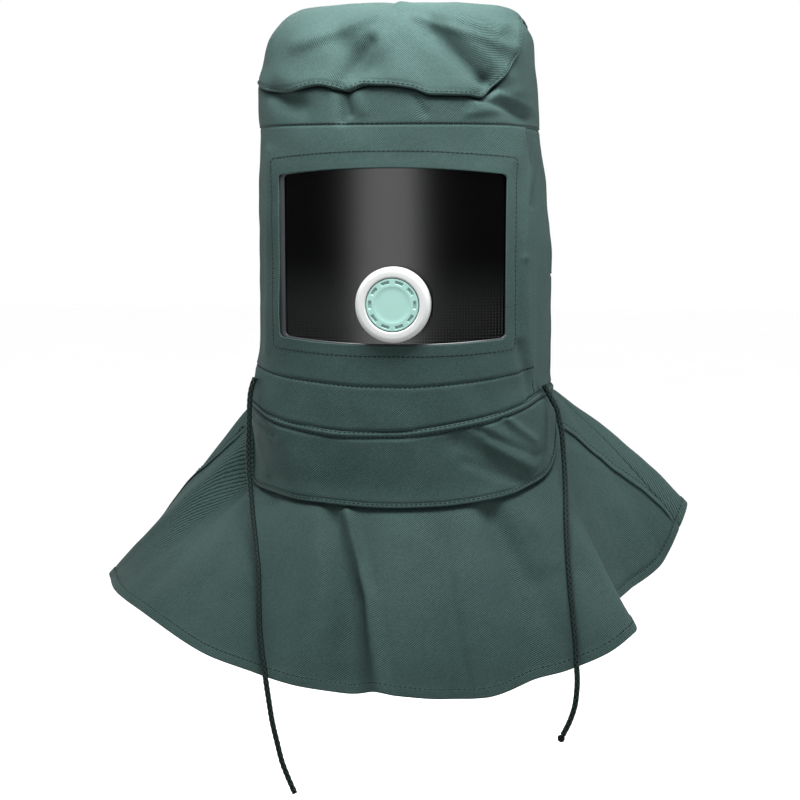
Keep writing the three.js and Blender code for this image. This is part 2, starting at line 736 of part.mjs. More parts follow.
function add(name, geometry, finish) {
  geometry.computeVertexNormals();
  const mesh = new THREE.Mesh(geometry, new THREE.MeshStandardMaterial(finish));
  mesh.name = name;
  group.add(mesh);
}

add('crown_top', crownTop(), canvas);
add('crown_band', crownBand(), canvas);
add('face_panel', facePanel(), canvas);
add('window_trim', windowTrim(), greyTrim);
add('window_pane', windowPane(), clearPane);
add('valve_body', valveBody(), whitePlastic);
add('valve_cap', valveCap(), mintPlastic);
add('valve_nut', valveNut(), whitePlastic);
add('inner_lining', innerLining(), blackCloth);
add('side_left', gusset(-1), canvas);
add('side_right', gusset(1), canvas);
add('back_upper', backPanel(() => bandSeamDrop + seamGap, () => backSeamDrop, 3), canvas);
add('back_lower', backPanel(() => backSeamDrop + seamGap, (angle) => dropAt(neckSeam, angle), 3), canvas);
add('chin_band', chinBand(), canvas);
add('neck_casing', neckCasing(), canvas);
add('bib', bib(), canvas);
add('cape_front', capeHalf(shoulderLeft, shoulderRight), canvas);
add('cape_back', capeHalf(shoulderRight, 360 + shoulderLeft), canvas);
add('cord_left', cord(leftCordRoute), darkCord);
add('cord_right', cord(rightCordRoute), darkCord);
add('cord_knob', cordKnob(rightCordRoute), darkCord);

export default group;
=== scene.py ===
# Looks of a sandblasting hood as it hangs on a worn head, in metres, +Z up, the face looks along -Y.
# Every canvas panel is a fine mesh on the same skin as the solids, with its hems, seams and stitches.
import math

import bmesh
import bpy
import numpy as np
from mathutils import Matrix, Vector, noise


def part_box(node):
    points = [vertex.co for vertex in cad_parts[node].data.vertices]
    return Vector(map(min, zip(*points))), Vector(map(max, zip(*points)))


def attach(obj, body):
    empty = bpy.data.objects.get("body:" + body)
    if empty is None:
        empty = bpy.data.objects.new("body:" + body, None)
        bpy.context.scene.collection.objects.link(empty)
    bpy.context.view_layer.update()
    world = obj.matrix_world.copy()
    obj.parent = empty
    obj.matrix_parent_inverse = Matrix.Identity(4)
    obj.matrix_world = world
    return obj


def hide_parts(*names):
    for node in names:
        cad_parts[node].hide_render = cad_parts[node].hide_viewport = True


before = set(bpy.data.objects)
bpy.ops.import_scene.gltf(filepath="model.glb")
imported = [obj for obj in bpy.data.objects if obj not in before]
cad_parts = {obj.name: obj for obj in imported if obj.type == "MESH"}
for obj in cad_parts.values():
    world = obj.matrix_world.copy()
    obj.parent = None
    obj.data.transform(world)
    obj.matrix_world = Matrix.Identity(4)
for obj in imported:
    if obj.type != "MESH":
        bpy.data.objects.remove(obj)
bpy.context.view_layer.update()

# Camera, in the photograph's place
CAMERA_AZIMUTH = 8
CAMERA_ELEVATION = 7
CAMERA_DISTANCE = 1.5
CAMERA_TARGET = (-0.005, 0, -0.36)
CAMERA_LENS = 71.91

# Sizes of the hood, as in the solids
HALF_WIDTH = 0.125
FRONT_REACH = 0.118
BACK_REACH = 0.14
HEAD_HEIGHT = 0.373
CLOTH = 0.0016
HEM_SET = 0.0008
BAND_SEAM = 0.111
BACK_SEAM = 0.242
CASING = 0.006
WINDOW_HALF = 0.0985
WINDOW_TOP = 0.147
WINDOW_HEIGHT = 0.1515
WINDOW_ARCH = 0.0055
WINDOW_CORNER = 0.004
TRIM_INSET = 0.0019
TRIM_THICKNESS = 0.0012
TRIM_INSET = 0.0019
TRIM_THICKNESS = 0.0012
PANE_INSET = 0.0034
PANE_THICKNESS = 0.001
VALVE_X = 0.006
VALVE_Z = -0.263
VALVE_RADIUS = 0.0325
VALVE_HEIGHT = 0.012
VALVE_FLOOR = 0.004
CAP_RADIUS = 0.023
CAP_HEIGHT = 0.007
SLOTS = 10
SLOT_RING = 0.0195
SPIGOT_RADIUS = 0.02
SPIGOT_BORE = 0.017
SPIGOT_LENGTH = 0.009
NUT_RADIUS = 0.025
NUT_THICKNESS = 0.003
CAPE_HALF = 0.286
CAPE_DROP = 0.58
LINING_INSET = 0.0052
LINING_FOOT = 0.328
CORD_DIAMETER = 0.005
KNOB_DIAMETER = 0.0065

# Edges of the panels, in degrees from the front towards +X
FACE_EDGE = 64
GUSSET_EDGE = 88
BIB_LEFT = -86
BIB_RIGHT = 84
SHOULDER_LEFT = -103
SHOULDER_RIGHT = 98

# Window outlines: how far each one reaches past the opening at the left, the right, the top and the foot
OPENING_MARGINS = (0, 0.003, 0, 0)
STITCHED_MARGINS = (0.0065, 0.011, 0.0145, 0.0095)
TRIM_LIP = (-0.0055, 0.0022, 0.0004, -0.0011)
TRIM_HOLD = (0.006, 0.009, 0.006, 0.006)
PANE_MARGINS = (0.009, 0.009, 0.009, 0.009)

# Details of the valve; a slot's two sizes are where its slope starts and ends
SLOT_HALF_WIDTH = (0.0029, 0.0036)
SLOT_HALF_DEPTH = (0.0009, 0.0015)
SLOT_DEPTH = 0.0014
CAP_GAP = 0.0002
CAP_ROUND = 0.0012
CAP_RISE = 0.0005
SPIGOT_GAP = 0.0004
NUT_BEVEL = 0.0006

# Cloths and the gaps between them; SEAM_GAP and TUCK_ANGLE are in degrees
LINED_CLOTH = 0.0026
FOLDED_CLOTH = 0.002
LINING_CLOTH = 0.001
CLOTH_GAP = 0.0003
BIB_GAP = 0.0008
SEAM_GAP = 0.2
TUCK_ANGLE = 0.4
TUCK = 0.0012

# A panel's edges: a seam sinks, a hem is a folded edge with a rounded rim and a line of stitches inside it
SEAM_DEPTH = 0.0011
SEAM_WIDTH = 0.0016
RIM_RADIUS = 0.0009
HEM_RISE = 0.0007
HEM_EDGE = 0.0006
LID_HEM = 0.0034
LID_LIFT = 0.0034
LID_OVERLAP = 0.004
BAND_DIP = 0.0022
BAND_TUCK_IN = 0.003
BIB_HEM = 0.0036
BIB_LIFT = 0.0024
CAPE_HEM = 0.0085
NECK_DIP = 0.0026

# Stitches, and how far their lines lie from an edge
STITCH_LENGTH = 0.0033
STITCH_GAP = 0.0009
STITCH_WIDTH = 0.0006
STITCH_SINK = 0.0001
STITCH_REACH = 0.0012
STITCH_DENT = 0.0008
SEAM_STITCH = 0.0022
BACK_STITCH = 0.0024
CASING_STITCH = 0.0011
SHOULDER_STITCH = 0.0045

# The cape laid flat as part of a ring: radius at the neck and share of the turn round the body
CONE_START = 0.28
CONE_SHARE = 0.45
CAPE_LENGTH = 0.27

# Rows of the cape: above its neck edge, and close together up from the hem
TUCKED_ROWS = np.array([[0.012], [0.008], [0.004]])
HEM_ROWS_START = 0.0135
HEM_ROWS = np.array([12.5, 11.5, 10.8, 10.2, 9.7, 9.2, 8.8, 8.4, 8, 7.6, 7.2, 6.7, 6, 4.8, 3.4, 2.2, 1.3, 0.6,
                     0.25, 0]) / 1000

# Section of a lapped seam: out as a share of its width, up as a share of its rise, and metres on top
LAP_SECTION = np.array([(1, 0, -0.0012), (0.8, 0, 0.0001), (0.5, 0.7, 0), (0.25, 0.95, 0), (0.08, 1, 0),
                        (0, 0.75, 0), (0.02, 0.35, 0), (0.1, 0.1, 0), (0.1, 0, -0.0008)])

# Weaves, braid, the painted glint specks on the window sheet and the cloth's uneven swells
CANVAS_PITCH = 0.0021
LINING_PITCH = 0.0027
GLINT_DOTS_PITCH = 0.0052
GLINT_DOTS_TOP = 0.185
GLINT_DOTS_GROWTH = 12
BRAID_PITCH = 0.0052
BRAID_STRANDS = 4
SWELL = 0.0013
SWELL_SIZE = 0.05

# Points nearer than this are one point, and a size that keeps a division from 0
SAME_PLACE = 0.000001
TINY = 0.000000001

# Floor and lights: name, place, target, width, height, power
FLOOR_REACH = 12
FLOOR_LEVEL = -1.05
LIGHTS = (
    ("top", (0.06, -0.28, 0.34), (0, -0.04, -0.06), 0.5, 0.35, 29),
    ("left", (-1.2, 0.45, -0.55), (0, 0, -0.35), 0.6, 1.2, 18),
    ("right", (1.2, 0.35, -0.55), (0, 0, -0.35), 0.6, 1.2, 22),
    ("back", (-0.4, 1.4, 0.5), (0, 0, -0.3), 0.8, 0.8, 16),
)
STRIP_LIGHT = ("strip", (-0.25, -1.8, -0.1), (0, 0, -0.22), 0.12, 1.2, 105)

# Sections of the skin: down as a share of HEAD_HEIGHT, left and right of HALF_WIDTH, front of FRONT_REACH,
# back of BACK_REACH, and the roundness of the corners
SECTIONS = np.array([
    (-0.0043, 0, 0, 0, 0, 2.4),
    (0.001, 0.4, 0.42, 0.28, 0.3, 2.4),
    (0.007, 0.72, 0.74, 0.5, 0.55, 2.4),
    (0.021, 0.82, 0.82, 0.65, 0.7, 2.5),
    (0.045, 0.895, 0.865, 0.77, 0.81, 2.6),
    (0.083, 0.97, 0.92, 0.87, 0.9, 2.7),
    (0.145, 1.015, 0.94, 0.94, 0.96, 2.8),
    (0.21, 1.045, 0.96, 0.985, 0.98, 2.9),
    (0.3, 1.035, 0.97, 0.99, 1, 3),
    (0.43, 1.04, 1.02, 1, 1, 3.1),
    (0.617, 1.04, 1.065, 1, 1.02, 3.1),
    (0.777, 1.04, 1.06, 1.005, 1.02, 3),
    (0.885, 1.09, 1.06, 1.015, 1, 2.8),
    (0.965, 1.15, 1.12, 1.03, 1, 2.6),
    (1.07, 1.11, 1.16, 1.045, 1.01, 2.5),
    (1.2, 1.1, 1.2, 1.06, 1.03, 2.4),
])

# Edges round the hood: angle in degrees, down as a share of HEAD_HEIGHT
LID_EDGE = np.array([
    (-180, 0.13), (-120, 0.17), (-68, 0.19), (-52, 0.213), (-40, 0.217), (-28, 0.207), (-16, 0.221),
    (-9, 0.209), (0, 0.209), (11, 0.217), (18, 0.231), (37, 0.232), (44, 0.209), (49, 0.18), (57, 0.134),
    (65, 0.08), (79, 0.045), (120, 0.055), (180, 0.13),
])
FACE_FOOT = np.array([
    (-64, 0.861), (-48, 0.876), (-30, 0.887), (-8, 0.896), (8, 0.896), (30, 0.886), (48, 0.871), (64, 0.858),
])
NECK_SEAM = np.array([
    (-180, 0.95), (-120, 0.96), (-90, 0.95), (-64, 0.948), (-50, 0.971), (-35, 0.989), (-16, 1), (4, 0.998),
    (20, 0.986), (38, 0.965), (55, 0.938), (66, 0.922), (90, 0.917), (120, 0.927), (180, 0.95),
])
BIB_FOOT = np.array([
    (-96, 0.9), (-88, 0.975), (-81, 1.05), (-73, 1.155), (-50, 1.161), (-32, 1.169), (0, 1.177), (20, 1.172),
    (36, 1.161), (53, 1.142), (66, 1.108), (73, 1.065), (80, 1), (86, 0.945), (94, 0.89),
])

# Folds of the front: x1, down1, x2, down2, width, depth, as in the solids, then the fine ones
FRONT_FOLDS = [
    (0.25, 0.06, 0.66, 0.195, 0.07, -0.05),
    (0.4, 0.04, 0.8, 0.12, 0.08, 0.025),
    (0.04, 0.02, 0.74, 0.07, 0.05, 0.02),
    (0.02, 0.03, -0.66, 0.11, 0.06, 0.022),
    (-0.18, 0.17, -0.36, 0.09, 0.11, -0.045),
    (-0.1, 0.1, 0.1, 0.17, 0.1, 0.025),
    (-0.84, 0.215, -0.66, 0.25, 0.08, -0.03),
    (-0.34, 0.21, -0.31, 0.285, 0.035, -0.03),
    (0.7, 0.2, 0.9, 0.27, 0.08, -0.035),
    (0.62, 0.25, 0.86, 0.22, 0.05, 0.02),
    (0.5, 1.02, 0.95, 1.12, 0.07, -0.025),
    (0.7, 1, 0.95, 1.06, 0.06, 0.025),
    (-0.8, 1.02, -0.6, 1.14, 0.12, 0.02),
]

# Upright folds at the sides: angle, width, top, foot, depth
SIDE_FOLDS = [
    (70, 9, 0.33, 0.93, -0.05),
    (63, 3.5, 0.36, 0.92, 0.02),
    (90, 6, 0.55, 0.96, 0.02),
    (-70, 9, 0.33, 0.88, -0.04),
    (-63, 3.5, 0.36, 0.92, 0.02),
    (-112, 8, 0.5, 0.98, 0.025),
    (-140, 9, 0.4, 0.95, -0.02),
    (140, 9, 0.4, 0.95, -0.02),
]

# The cape's hem: angle, reach as a share of CAPE_HALF, down of CAPE_DROP, bow of CAPE_HALF
HEM_FOLDS = np.array([
    (-180, 0.7, 0.985, 0.01), (-164, 0.66, 0.98, 0.005), (-147, 0.76, 0.965, 0.01),
    (-131, 0.77, 0.955, 0.005), (-115, 0.9, 0.94, 0), (-100, 0.965, 0.93, 0), (-88, 0.99, 0.919, 0),
    (-77, 0.96, 0.921, 0), (-65, 0.895, 0.93, 0.005), (-52, 0.825, 0.954, 0.005), (-42, 0.8, 0.968, 0.01),
    (-31, 0.74, 0.987, 0.01), (-19, 0.715, 1, 0.01), (-8, 0.665, 1.01, 0), (0, 0.685, 1.003, 0.012),
    (6, 0.7, 1.006, 0.014), (18, 0.7, 1.012, 0.012), (28, 0.745, 1.006, 0.012), (38, 0.735, 0.993, 0.002),
    (47, 0.785, 0.977, 0.004), (55, 0.84, 0.957, 0.008), (61, 0.862, 0.937, 0.01), (68, 0.79, 0.93, 0.01),
    (77, 0.7, 0.93, 0.005), (85, 0.74, 0.915, 0.005), (93, 0.84, 0.885, 0.015), (98, 0.91, 0.83, 0.022),
    (103, 0.95, 0.797, 0.026), (113, 0.92, 0.81, 0.026), (127, 0.8, 0.87, 0.02), (141, 0.78, 0.92, 0.012),
    (157, 0.68, 0.965, 0.006), (168, 0.71, 0.975, 0.01), (180, 0.7, 0.985, 0.01),
])

# Fine folds of the front, in the columns of FRONT_FOLDS
FINE_FOLDS = [
    (0.0, 0.022, 0.1, 0.026, 0.06, -0.022),
    (0.28, 0.085, 0.68, 0.212, 0.04, -0.024),
    (0.42, 0.075, 0.82, 0.185, 0.04, 0.012),
    (0.16, 0.05, 0.82, 0.12, 0.03, 0.018),
    (0.3, 0.045, 0.72, 0.085, 0.03, 0.012),
    (-0.1, 0.05, -0.6, 0.112, 0.035, 0.012),
    (-0.13, 0.11, -0.3, 0.195, 0.055, -0.04),
    (-0.03, 0.1, -0.12, 0.2, 0.05, 0.014),
    (-0.8, 0.222, -0.6, 0.25, 0.06, -0.02),
    (-0.3, 0.22, -0.26, 0.272, 0.028, -0.026),
    (-0.22, 0.22, -0.17, 0.265, 0.04, 0.012),
    (0.2, 0.235, 0.26, 0.27, 0.03, -0.014),
    (0.6, 0.232, 0.9, 0.268, 0.035, -0.03),
    (0.74, 0.225, 0.96, 0.255, 0.022, 0.022),
    (0.55, 0.272, 0.8, 0.258, 0.03, 0.012),
    (0.64, 0.995, 1.02, 1.065, 0.03, -0.022),
    (0.7, 1.03, 0.98, 1.09, 0.03, 0.02),
    (0.8, 0.965, 1.0, 1.03, 0.025, 0.02),
    (0.55, 1.07, 0.9, 1.12, 0.04, -0.012),
    (-1.05, 0.99, -0.85, 1.02, 0.03, -0.018),
    (-1.02, 1.04, -0.9, 1.12, 0.03, 0.012),
    (-0.86, 0.35, -0.9, 0.82, 0.03, 0.012),
    (0.965, 0.33, 0.935, 0.6, 0.022, 0.014),
    (0.935, 0.6, 0.95, 0.84, 0.03, 0.016),
    (0.99, 0.37, 0.965, 0.48, 0.014, -0.026),
    (1.02, 0.37, 1.05, 0.58, 0.02, 0.014),
    (0.87, 0.4, 0.89, 0.84, 0.03, -0.006),
    (0.9, 0.8, 0.97, 0.93, 0.03, -0.02),
]

# Fine folds of the back, in the same columns
BACK_FOLDS = [
    (-0.95, 0.83, -0.35, 0.93, 0.05, -0.025),
    (-0.9, 0.78, -0.3, 0.86, 0.06, 0.034),
    (0.9, 0.8, 0.3, 0.92, 0.05, -0.025),
    (0.85, 0.74, 0.35, 0.84, 0.07, 0.03),
    (-0.5, 0.6, 0.25, 0.64, 0.07, 0.026),
    (-0.2, 0.7, 0.5, 0.675, 0.08, -0.02),
    (0.8, 0.33, 0.35, 0.46, 0.05, -0.025),
    (0.9, 0.4, 0.4, 0.55, 0.07, 0.026),
    (-0.85, 0.32, -0.4, 0.44, 0.05, -0.025),
    (-0.7, 0.42, -0.2, 0.52, 0.06, 0.026),
    (-0.3, 0.035, -0.7, 0.12, 0.05, 0.026),
    (0.25, 0.035, 0.6, 0.1, 0.05, -0.02),
    (-0.1, 0.2, -0.25, 0.28, 0.05, -0.022),
    (0.4, 0.17, 0.5, 0.27, 0.05, 0.02),
]

# Fine creases of the cape: angle at the neck, half way and at the hem, share of the way down where it
# starts, width in degrees and depth in metres
CAPE_CREASES = [
    (-16, -3, 2.4, 0.0, 2.2, 0.0062),
    (-22, -9, -4.5, 0.0, 4, -0.0062),
    (-26, -18, -14, 0.0, 4, 0.002),
    (22, 21.5, 23, 0.15, 1.1, -0.0012),
    (12, 13, 14, 0.1, 4, 0.002),
    (38, 44.5, 46, 0.0, 4.5, -0.0085),
    (50, 54, 57, 0.1, 3, 0.002),
    (-48, -40, -36, 0.0, 5, -0.0025),
    (-62, -56, -52, 0.0, 4, 0.0025),
    (-72, -68, -66, 0.0, 4, -0.002),
    (-80.5, -83, -86, 0.0, 2.4, 0.0035),
    (-122, -121, -119, 0.0, 4, 0.004),
    (-141, -142, -144, 0.1, 5, -0.005),
    (-166, -163, -160, 0.0, 5, 0.004),
    (174, 176, 178, 0.1, 5, -0.005),
    (152, 150, 148, 0.0, 5, 0.004),
    (131, 130, 128, 0.1, 5, -0.004),
]

# Lapped shoulder seam on the right and the seam on the left, as angle and share of the way to the hem
RIGHT_LAP = np.array([(81, 0.06), (84.5, 0.147), (89, 0.278), (92.8, 0.398), (95, 0.527), (96.5, 0.672),
                      (97.3, 0.82), (97.6, 0.965)])
LEFT_LAP = np.array([(-84, 0.06), (-84.2, 0.15), (-84.6, 0.23), (-86, 0.33), (-88.5, 0.45), (-90, 0.56),
                     (-91.3, 0.7), (-92.3, 0.84), (-92.8, 0.965)])

# Free ends of the drawstring, in metres
LEFT_CORD = [
    (-0.1265, -0.0745, -0.333), (-0.1285, -0.077, -0.3395), (-0.13, -0.079, -0.348),
    (-0.1305, -0.081, -0.3615), (-0.1305, -0.0835, -0.379), (-0.1305, -0.087, -0.397),
    (-0.129, -0.092, -0.414), (-0.126, -0.099, -0.431), (-0.122, -0.11, -0.448),
    (-0.1155, -0.127, -0.4705), (-0.109, -0.145, -0.493), (-0.1055, -0.159, -0.516),
    (-0.102, -0.1715, -0.539), (-0.0975, -0.182, -0.558), (-0.0945, -0.188, -0.569),
    (-0.092, -0.1925, -0.5795), (-0.089, -0.196, -0.594), (-0.086, -0.1975, -0.611),
    (-0.082, -0.198, -0.628), (-0.078, -0.198, -0.6445), (-0.073, -0.198, -0.658),
    (-0.067, -0.198, -0.672),
]
RIGHT_CORD = [
    (0.1315, -0.0395, -0.3395), (0.1355, -0.0415, -0.346), (0.1395, -0.0435, -0.353),
    (0.144, -0.046, -0.361), (0.1465, -0.049, -0.3715), (0.149, -0.0525, -0.3835),
    (0.1505, -0.057, -0.398), (0.152, -0.0635, -0.4135), (0.1535, -0.074, -0.4305),
    (0.1545, -0.089, -0.448), (0.156, -0.104, -0.467), (0.158, -0.117, -0.4865),
    (0.1605, -0.129, -0.507), (0.1635, -0.14, -0.5285), (0.166, -0.149, -0.548),
    (0.167, -0.155, -0.561), (0.168, -0.159, -0.572), (0.168, -0.162, -0.583),
    (0.1665, -0.164, -0.5965), (0.1625, -0.165, -0.6095), (0.157, -0.165, -0.6215),
]


# Smooth reading of tables

def smooth_value(places, values, at):
    at = np.clip(at, places[0], places[-1])
    rise = np.diff(values) / np.diff(places)
    both = rise[:-1] * rise[1:]
    total = np.where(both > 0, rise[:-1] + rise[1:], 1)
    inner = np.where(both > 0, 2 * both / total, 0)
    slope = np.concatenate(([rise[0]], inner, [rise[-1]]))
    i = np.clip(np.searchsorted(places, at) - 1, 0, len(places) - 2)
    width = places[i + 1] - places[i]
    t = (at - places[i]) / width
    start = (2 * t ** 3 - 3 * t ** 2 + 1) * values[i] + (t ** 3 - 2 * t ** 2 + t) * slope[i] * width
    end = (3 * t ** 2 - 2 * t ** 3) * values[i + 1] + (t ** 3 - t ** 2) * slope[i + 1] * width
    return start + end


def wrapped(angle):
    return np.mod(np.asarray(angle, float) + 180, 360) - 180


def edge_drop(edge, angle):
    return smooth_value(edge[:, 0], edge[:, 1], wrapped(angle)) * HEAD_HEIGHT


def smooth_step(value, low, high):
    t = np.clip((value - low) / (high - low), 0, 1)
    return t * t * (3 - 2 * t)


def bell(distance, width):
    return np.exp(-(distance / width) ** 2)


STEPS = np.arange(len(SECTIONS), dtype=float)
FINE_STEPS = np.linspace(0, len(SECTIONS) - 1, 6000)
FINE_DROPS = smooth_value(STEPS, SECTIONS[:, 0], FINE_STEPS) * HEAD_HEIGHT


def step_at(drop):
    return np.interp(drop, FINE_DROPS, FINE_STEPS)


# The skin of the hood, the same as in the solids

def bare_skin(angle, step):
    down, left, right, front, back, square = [smooth_value(STEPS, SECTIONS[:, i], step) for i in range(6)]
    turn = np.radians(angle)
    side = np.sin(turn)
    ahead = np.cos(turn)
    side_reach = np.where(side < 0, left, right) * HALF_WIDTH + TINY
    ahead_reach = np.where(ahead > 0, front * FRONT_REACH, back * BACK_REACH) + TINY
    total = np.abs(side / side_reach) ** square + np.abs(ahead / ahead_reach) ** square
    reach = total ** (-1 / square)
    return np.stack([reach * side, -reach * ahead, -down * HEAD_HEIGHT], -1)


def unit(vectors):
    return vectors / np.maximum(np.linalg.norm(vectors, axis=-1, keepdims=True), 1e-12)


def surface_normal(surface, angle, along, turn=0.05, walk=0.002):
    across = surface(angle + turn, along) - surface(angle - turn, along)
    down = surface(angle, along + walk) - surface(angle, along - walk)
    return unit(np.cross(down, across))


def line_folds(point, folds, ahead=-1):
    """Height of straight folds seen from the front (ahead is -1) or from the back (1)."""
    facing = smooth_step(ahead * point[..., 1], 0, FRONT_REACH * 0.5)
    depth = np.zeros(facing.shape)
    here = np.stack([point[..., 0], -point[..., 2]], -1)
    for x1, down1, x2, down2, width, fold in folds:
        start = np.array([x1 * HALF_WIDTH, down1 * HEAD_HEIGHT])
        run = np.array([x2 * HALF_WIDTH, down2 * HEAD_HEIGHT]) - start
        share = np.clip((here - start) @ run / (run @ run), 0, 1)
        away = np.linalg.norm(here - start - share[..., None] * run, axis=-1)
        depth += facing * fold * HALF_WIDTH * bell(away, width * HALF_WIDTH)
    return depth


def fold_depth(point, angle, fade=0.06):
    down = -point[..., 2] / HEAD_HEIGHT
    depth = line_folds(point, FRONT_FOLDS)
    for place, width, top, foot, fold in SIDE_FOLDS:
        inside = smooth_step(down, top - fade, top + fade) * (1 - smooth_step(down, foot - fade, foot + fade))
        depth += inside * fold * HALF_WIDTH * bell(wrapped(angle - place), width)
    return depth


def skin(angle, step):
    at = np.clip(step, 0.01, len(SECTIONS) - 1.01)
    point = bare_skin(angle, at)
    push = fold_depth(point, angle) * smooth_step(step, 0, 1)
    return point + surface_normal(bare_skin, angle, at) * push[..., None]


def skin_inside(angle, step, inset):
    return skin(angle, step) - surface_normal(skin, angle, step) * inset


def cape_start(angle):
    casing_foot = edge_drop(NECK_SEAM, angle) + CASING
    return np.maximum(casing_foot, edge_drop(BIB_FOOT, angle)) + CLOTH_GAP


def cape_skin(angle, along):
    turn = wrapped(angle)
    start = skin_inside(angle, step_at(cape_start(angle)), HEM_SET)
    reach, down, bow = (smooth_value(HEM_FOLDS[:, 0], HEM_FOLDS[:, i], turn) for i in (1, 2, 3))
    out = np.stack([np.sin(np.radians(turn)), -np.cos(np.radians(turn)), np.zeros(turn.shape)], -1)
    hem = out * (reach * CAPE_HALF)[..., None]
    hem[..., 2] = -down * CAPE_DROP
    share = along[..., None]
    return start * (1 - share) + hem * share + out * (4 * along * (1 - along) * bow * CAPE_HALF)[..., None]


def face_angle(x, z, inset=0):
    """Angle at which the skin, moved in by the inset, has this x at this height."""
    angle = np.zeros(np.shape(x))
    for _ in range(14):
        point = skin_inside(angle, step_at(-z), inset)
        angle = angle + np.degrees((x - point[..., 0]) / FRONT_REACH)
    return angle


# Mesh helpers

def grid_normals(points, closed=False):
    if closed:
        across = np.roll(points, -1, 1) - np.roll(points, 1, 1)
    else:
        across = np.gradient(points, axis=1)
    normals = unit(np.cross(np.gradient(points, axis=0), across))
    if np.ptp(points[0], axis=0).max() < SAME_PLACE:
        normals[0] = unit(normals[1].mean(axis=0))
    return normals


def run_length(points, axis=0):
    steps = np.linalg.norm(np.diff(points, axis=axis), axis=-1)
    zero = np.zeros_like(np.take(steps, [0], axis=axis))
    return np.cumsum(np.concatenate([zero, steps], axis=axis), axis=axis)


def spread(start, end, shares):
    return start + (end - start) * shares


def dense_ends(count, pull=0.12):
    t = np.linspace(0, 1, count)
    return t - pull * np.sin(2 * np.pi * t)


def dense_end(count, pull=0.6):
    t = np.linspace(0, 1, count)
    return t + pull * t * (1 - t)


def full_turn(count):
    return 2 * np.pi * np.arange(count) / count


def weave_map(across, down):
    """Places in the flat cloth, which the materials read."""
    across, down = np.broadcast_arrays(across, down)
    return np.stack([across, down, np.zeros(down.shape)], -1)


def new_object(name, data):
    obj = bpy.data.objects.new(name, data)
    bpy.context.scene.collection.objects.link(obj)
    return obj


def piece(name, vertices, faces, material, nodes=(), weave=None):
    mesh = bpy.data.meshes.new(name)
    mesh.from_pydata(vertices.reshape(-1, 3).tolist(), [], faces.tolist())
    mesh.polygons.foreach_set("use_smooth", np.ones(len(mesh.polygons), bool))
    if weave is not None:
        layer = mesh.attributes.new("weave", "FLOAT_VECTOR", "POINT")
        layer.data.foreach_set("vector", weave.astype(np.float32).ravel())
    mesh.materials.append(material)
    obj = new_object(name, mesh)
    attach(obj, "root")
    if nodes:
        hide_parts(*nodes)
    return obj


def close_pole(mesh):
    """Make one point of the first row of a grid whose first row is a single place."""
    shell = bmesh.new()
    shell.from_mesh(mesh)
    bmesh.ops.remove_doubles(shell, verts=shell.verts, dist=SAME_PLACE)
    shell.to_mesh(mesh)
    shell.free()


def grid_faces(rows, columns, closed=True):
    i = np.arange(rows - 1)[:, None]
    j = np.arange(columns if closed else columns - 1)[None, :]
    k = (j + 1) % columns
    corners = (i * columns + j, (i + 1) * columns + j, (i + 1) * columns + k, i * columns + k)
    return np.stack(np.broadcast_arrays(*corners), -1).reshape(-1, 4)


def tube_faces(rows, sides, capped=True):
    """Faces of a tube of rings, with a flat face at each end."""
    faces = grid_faces(rows, sides)[:, [0, 3, 2, 1]]
    if not capped:
        return faces
    last = (rows - 1) * sides
    ends = [list(range(sides)), list(range(last + sides - 1, last - 1, -1))]
    return np.array(faces.tolist() + ends, dtype=object)


def shell_faces(rows, columns, closed):
    """Faces of two layers of a grid and of the rims between them."""
    front = grid_faces(rows, columns, closed)
    layer = rows * columns
    j = np.arange(columns if closed else columns - 1)
    k = (j + 1) % columns
    foot = (rows - 1) * columns
    rims = [np.stack([j, k, layer + k, layer + j], -1),
            np.stack([foot + j, layer + foot + j, layer + foot + k, foot + k], -1)]
    if not closed:
        a = np.arange(rows - 1) * columns
        b = a + columns - 1
        rims.append(np.stack([a, layer + a, layer + a + columns, a + columns], -1))
        rims.append(np.stack([b, b + columns, layer + b + columns, layer + b], -1))
    return np.concatenate([front, front[:, ::-1] + layer, *rims])


def edge_relief(distance, style, hem):
    if style == "seam":
        return -SEAM_DEPTH * bell(distance, SEAM_WIDTH)
    if style == "tuck":
        return -2 * SEAM_DEPTH * bell(distance, 1.3 * SEAM_WIDTH)
    if style == "hem":
        raised = HEM_RISE * (1 - smooth_step(distance, hem - HEM_EDGE, hem + HEM_EDGE))
        return raised - STITCH_DENT * bell(distance - hem, 0.001)
    return np.zeros(distance.shape)


def rim_pull(distance, style):
    if style not in ("hem", "edge"):
        return np.zeros(distance.shape)
    return rounded(RIM_RADIUS - distance, RIM_RADIUS)


def rounded(past, radius):
    """Drop of a rounded edge at this distance past the start of its curve."""
    return radius - np.sqrt(np.maximum(radius ** 2 - np.clip(past, 0, radius) ** 2, 0))


def cloth_shell(name, nodes, points, styles, material, closed=False, thickness=CLOTH,
                weave=None, lift=0, hem=0.007):
    """Shell on a grid of points; styles are those of the top, foot, left and right edges."""
    normals = grid_normals(points, closed)
    down = run_length(points, 0)
    across = run_length(points, 1)
    distances = [down, down[-1:] - down, across, across[:, -1:] - across]
    relief = sum(edge_relief(distance, style, hem) for distance, style in zip(distances, styles)) + lift
    pull = sum(rim_pull(distance, style) for distance, style in zip(distances, styles))
    pull = np.minimum(pull, thickness * 0.5)
    if weave is None:
        weave = weave_map(across - across[:, [across.shape[1] // 2]], down)
    outer = points + normals * (relief - pull)[..., None]
    inner = points + normals * (np.minimum(relief, 0) - thickness + pull)[..., None]
    obj = piece(name, np.stack([outer, inner]), shell_faces(*down.shape, closed), material, nodes,
                np.stack([weave, weave]))
    return obj, outer


def on_valve(radius, turns):
    return VALVE_X + radius * np.cos(turns), VALVE_Z + radius * np.sin(turns)


